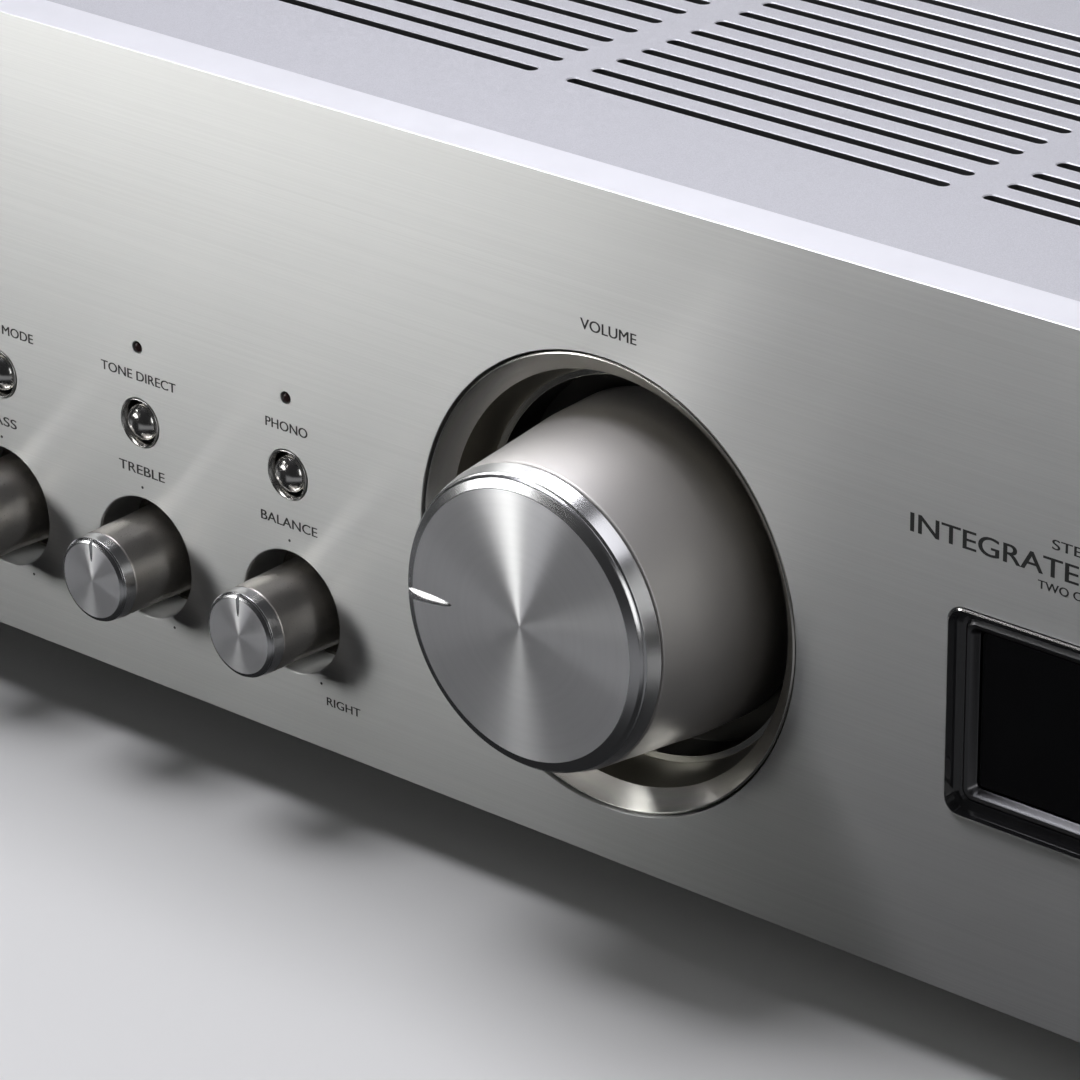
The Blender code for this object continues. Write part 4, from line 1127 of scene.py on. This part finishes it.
def mains_inlet():
    """A flanged inlet with three plated blades in its recess."""
    node = "ac_inlet"
    place = on_rear(node)
    outline = rounded_outline((-25 * MM, 25 * MM), (-13 * MM, 13 * MM), 3 * MM)
    inset = rounded_outline((-24.5 * MM, 24.5 * MM), (-12.5 * MM, 12.5 * MM), 2.5 * MM)
    flange = linked("inlet_flange", stacked([(0, outline), (1.5 * MM, outline), (2 * MM, inset)]), place)
    carve(flange, [block((-14 * MM, -24 * MM, -10.5 * MM), (14 * MM, 0.5 * MM, 10.5 * MM))], "UNION")
    mouth = []
    for half_x, half_z in ((12, 8.5), (12.8, 9.3)):
        corner = 4.5
        mouth.append(in_mm([
            (half_x, half_z), (-half_x, half_z), (-half_x, corner - half_z),
            (corner - half_x, -half_z), (half_x - corner, -half_z), (half_x, corner - half_z),
        ]))
    tunnel = [(-15 * MM, mouth[0]), (1.2 * MM, mouth[0]), (2 * MM, mouth[1]), (3 * MM, mouth[1])]
    carve(flange, [stacked(tunnel)])
    finished(flange, "root", [M["plastic"]], [node])
    blades = []
    for x, z in ((-7, -2), (0, 2), (7, -2)):
        low = Vector((x - 1, -15.5, z - 2)) * MM
        blades.append(block(low, low + Vector((2, 11.5, 4)) * MM, 0.3 * MM))
    rear_piece("inlet_blades", together(blades), place, "nickel")


# --- Screws ---


def screw_head(radius):
    """A domed head with a cross recess, whose seat lies at depth 0 and whose top looks towards +Y."""
    high = 0.52 * radius
    dome = [(0, -0.1 * MM), (radius, -0.1 * MM), (radius, 0.1 * high)]
    for degrees in range(15, 90, 15):
        angle = math.radians(degrees)
        dome.append((radius * math.cos(angle), high * (0.1 + 0.9 * math.sin(angle))))
    dome.append((0, high))
    obj = linked("head", spun(dome, COARSE))
    wide = 0.13 * radius
    long = 0.5 * radius
    for half_x, half_z in ((wide, long), (long, wide)):
        carve(obj, [block((-half_x, 0.35 * high, -half_z), (half_x, 2 * high, half_z))])
    shape = bmesh.new()
    shape.from_mesh(obj.data)
    bpy.data.objects.remove(obj, do_unlink=True)
    return shape


def screws(name, material, radius, degrees, places):
    """Equal screws that face rearwards, turned by some degrees about Z."""
    head = screw_head(radius)
    turned_about(head, degrees, "Z")
    heads = [moved(head.copy(), place) for place in places]
    head.free()
    finished(linked(name, together(heads)), "root", [M[material]])


def all_screws():
    side = COVER_HIGH.x
    from_end = 34 * MM
    middle = (COVER_LOW.y + COVER_HIGH.y) / 2
    row = (COVER_LOW.y + from_end, COVER_HIGH.y - from_end, middle)
    for name, x, degrees in (("right", side, -90), ("left", -side, 90)):
        places = [(x, y, 26 * MM) for y in row]
        screws(f"screws_{name}_side", "steel", 3.2 * MM, degrees, places)
    face = REAR_HIGH.y
    edge = REAR_HIGH.x - 8 * MM
    upper = [(x, face, REAR_HIGH.z - 6 * MM) for x in (-edge, -edge / 3, edge / 3, edge)]
    lower = [(x, face, REAR_LOW.z + 7 * MM) for x in (-edge, 0, edge)]
    screws("screws_rear", "fins", 2.8 * MM, 0, upper + lower)
    low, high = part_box("speaker_terminal_plate")
    inward = 5 * MM
    middle = (low + high) / 2
    spots = [(low.x + inward, high.z - inward), (high.x - inward, low.z + inward), (middle.x, middle.z)]
    inlet = centre("ac_inlet")
    ear = 19.5 * MM
    spots += [(inlet.x - ear, inlet.z), (inlet.x + ear, inlet.z)]
    between_rows = sum(JACK_ROWS_Z) / 2
    spots += [(JACK_FIRST_X + columns * JACK_PITCH, between_rows) for columns in (1.5, 3.5)]
    places = [(x, PLATE_FACE, z) for x, z in spots]
    screws("screws_fittings", "steel", 2.3 * MM, 0, places)


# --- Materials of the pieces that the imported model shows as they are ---

KEPT = {
    "steel": ("chassis_base", "sub_front_plate", "volume_motor"),
    "rear": ("rear_panel",),
    "plastic": ("display_module", "volume_pot", "bass_pot", "treble_pot", "balance_pot", "input_switch"),
    "brass": ("volume_shaft", "input_shaft", "bass_shaft", "treble_shaft", "balance_shaft"),
    "gold": ("volume_drive_gear", "motor_pinion"),
    "board": ("amplifier_board", "control_board"),
    "fins": ("heat_sink",),
    "can": ("power_transformer",),
    "sleeve": ("filter_capacitor_left", "filter_capacitor_right"),
}


def kept_nodes():
    for material, nodes in KEPT.items():
        for node in nodes:
            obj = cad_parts[node]
            obj.data.materials.clear()
            obj.data.materials.append(M[material])


def main():
    bpy.context.scene.view_settings.view_transform = "Standard"
    camera()
    lights()
    floor()
    front_panel()
    recess_cup("volume_recess_cup", 1, VERY_FINE)
    recess_cup("input_recess_cup", INPUT_SCALE, FINE)
    tone_recesses()
    display_frame()
    display_window()
    volume_knob()
    input_knob()
    for name in TONE_NAMES:
        tone_knob(name)
    for name in BUTTON_NAMES:
        push_button(name)
    power_controls()
    lettering()
    top_cover()
    for side in ("front_left", "front_right", "rear_left", "rear_right"):
        foot(f"foot_{side}")
    line_sockets()
    earth_terminal()
    speaker_terminals()
    mains_inlet()
    all_screws()
    kept_nodes()


main()
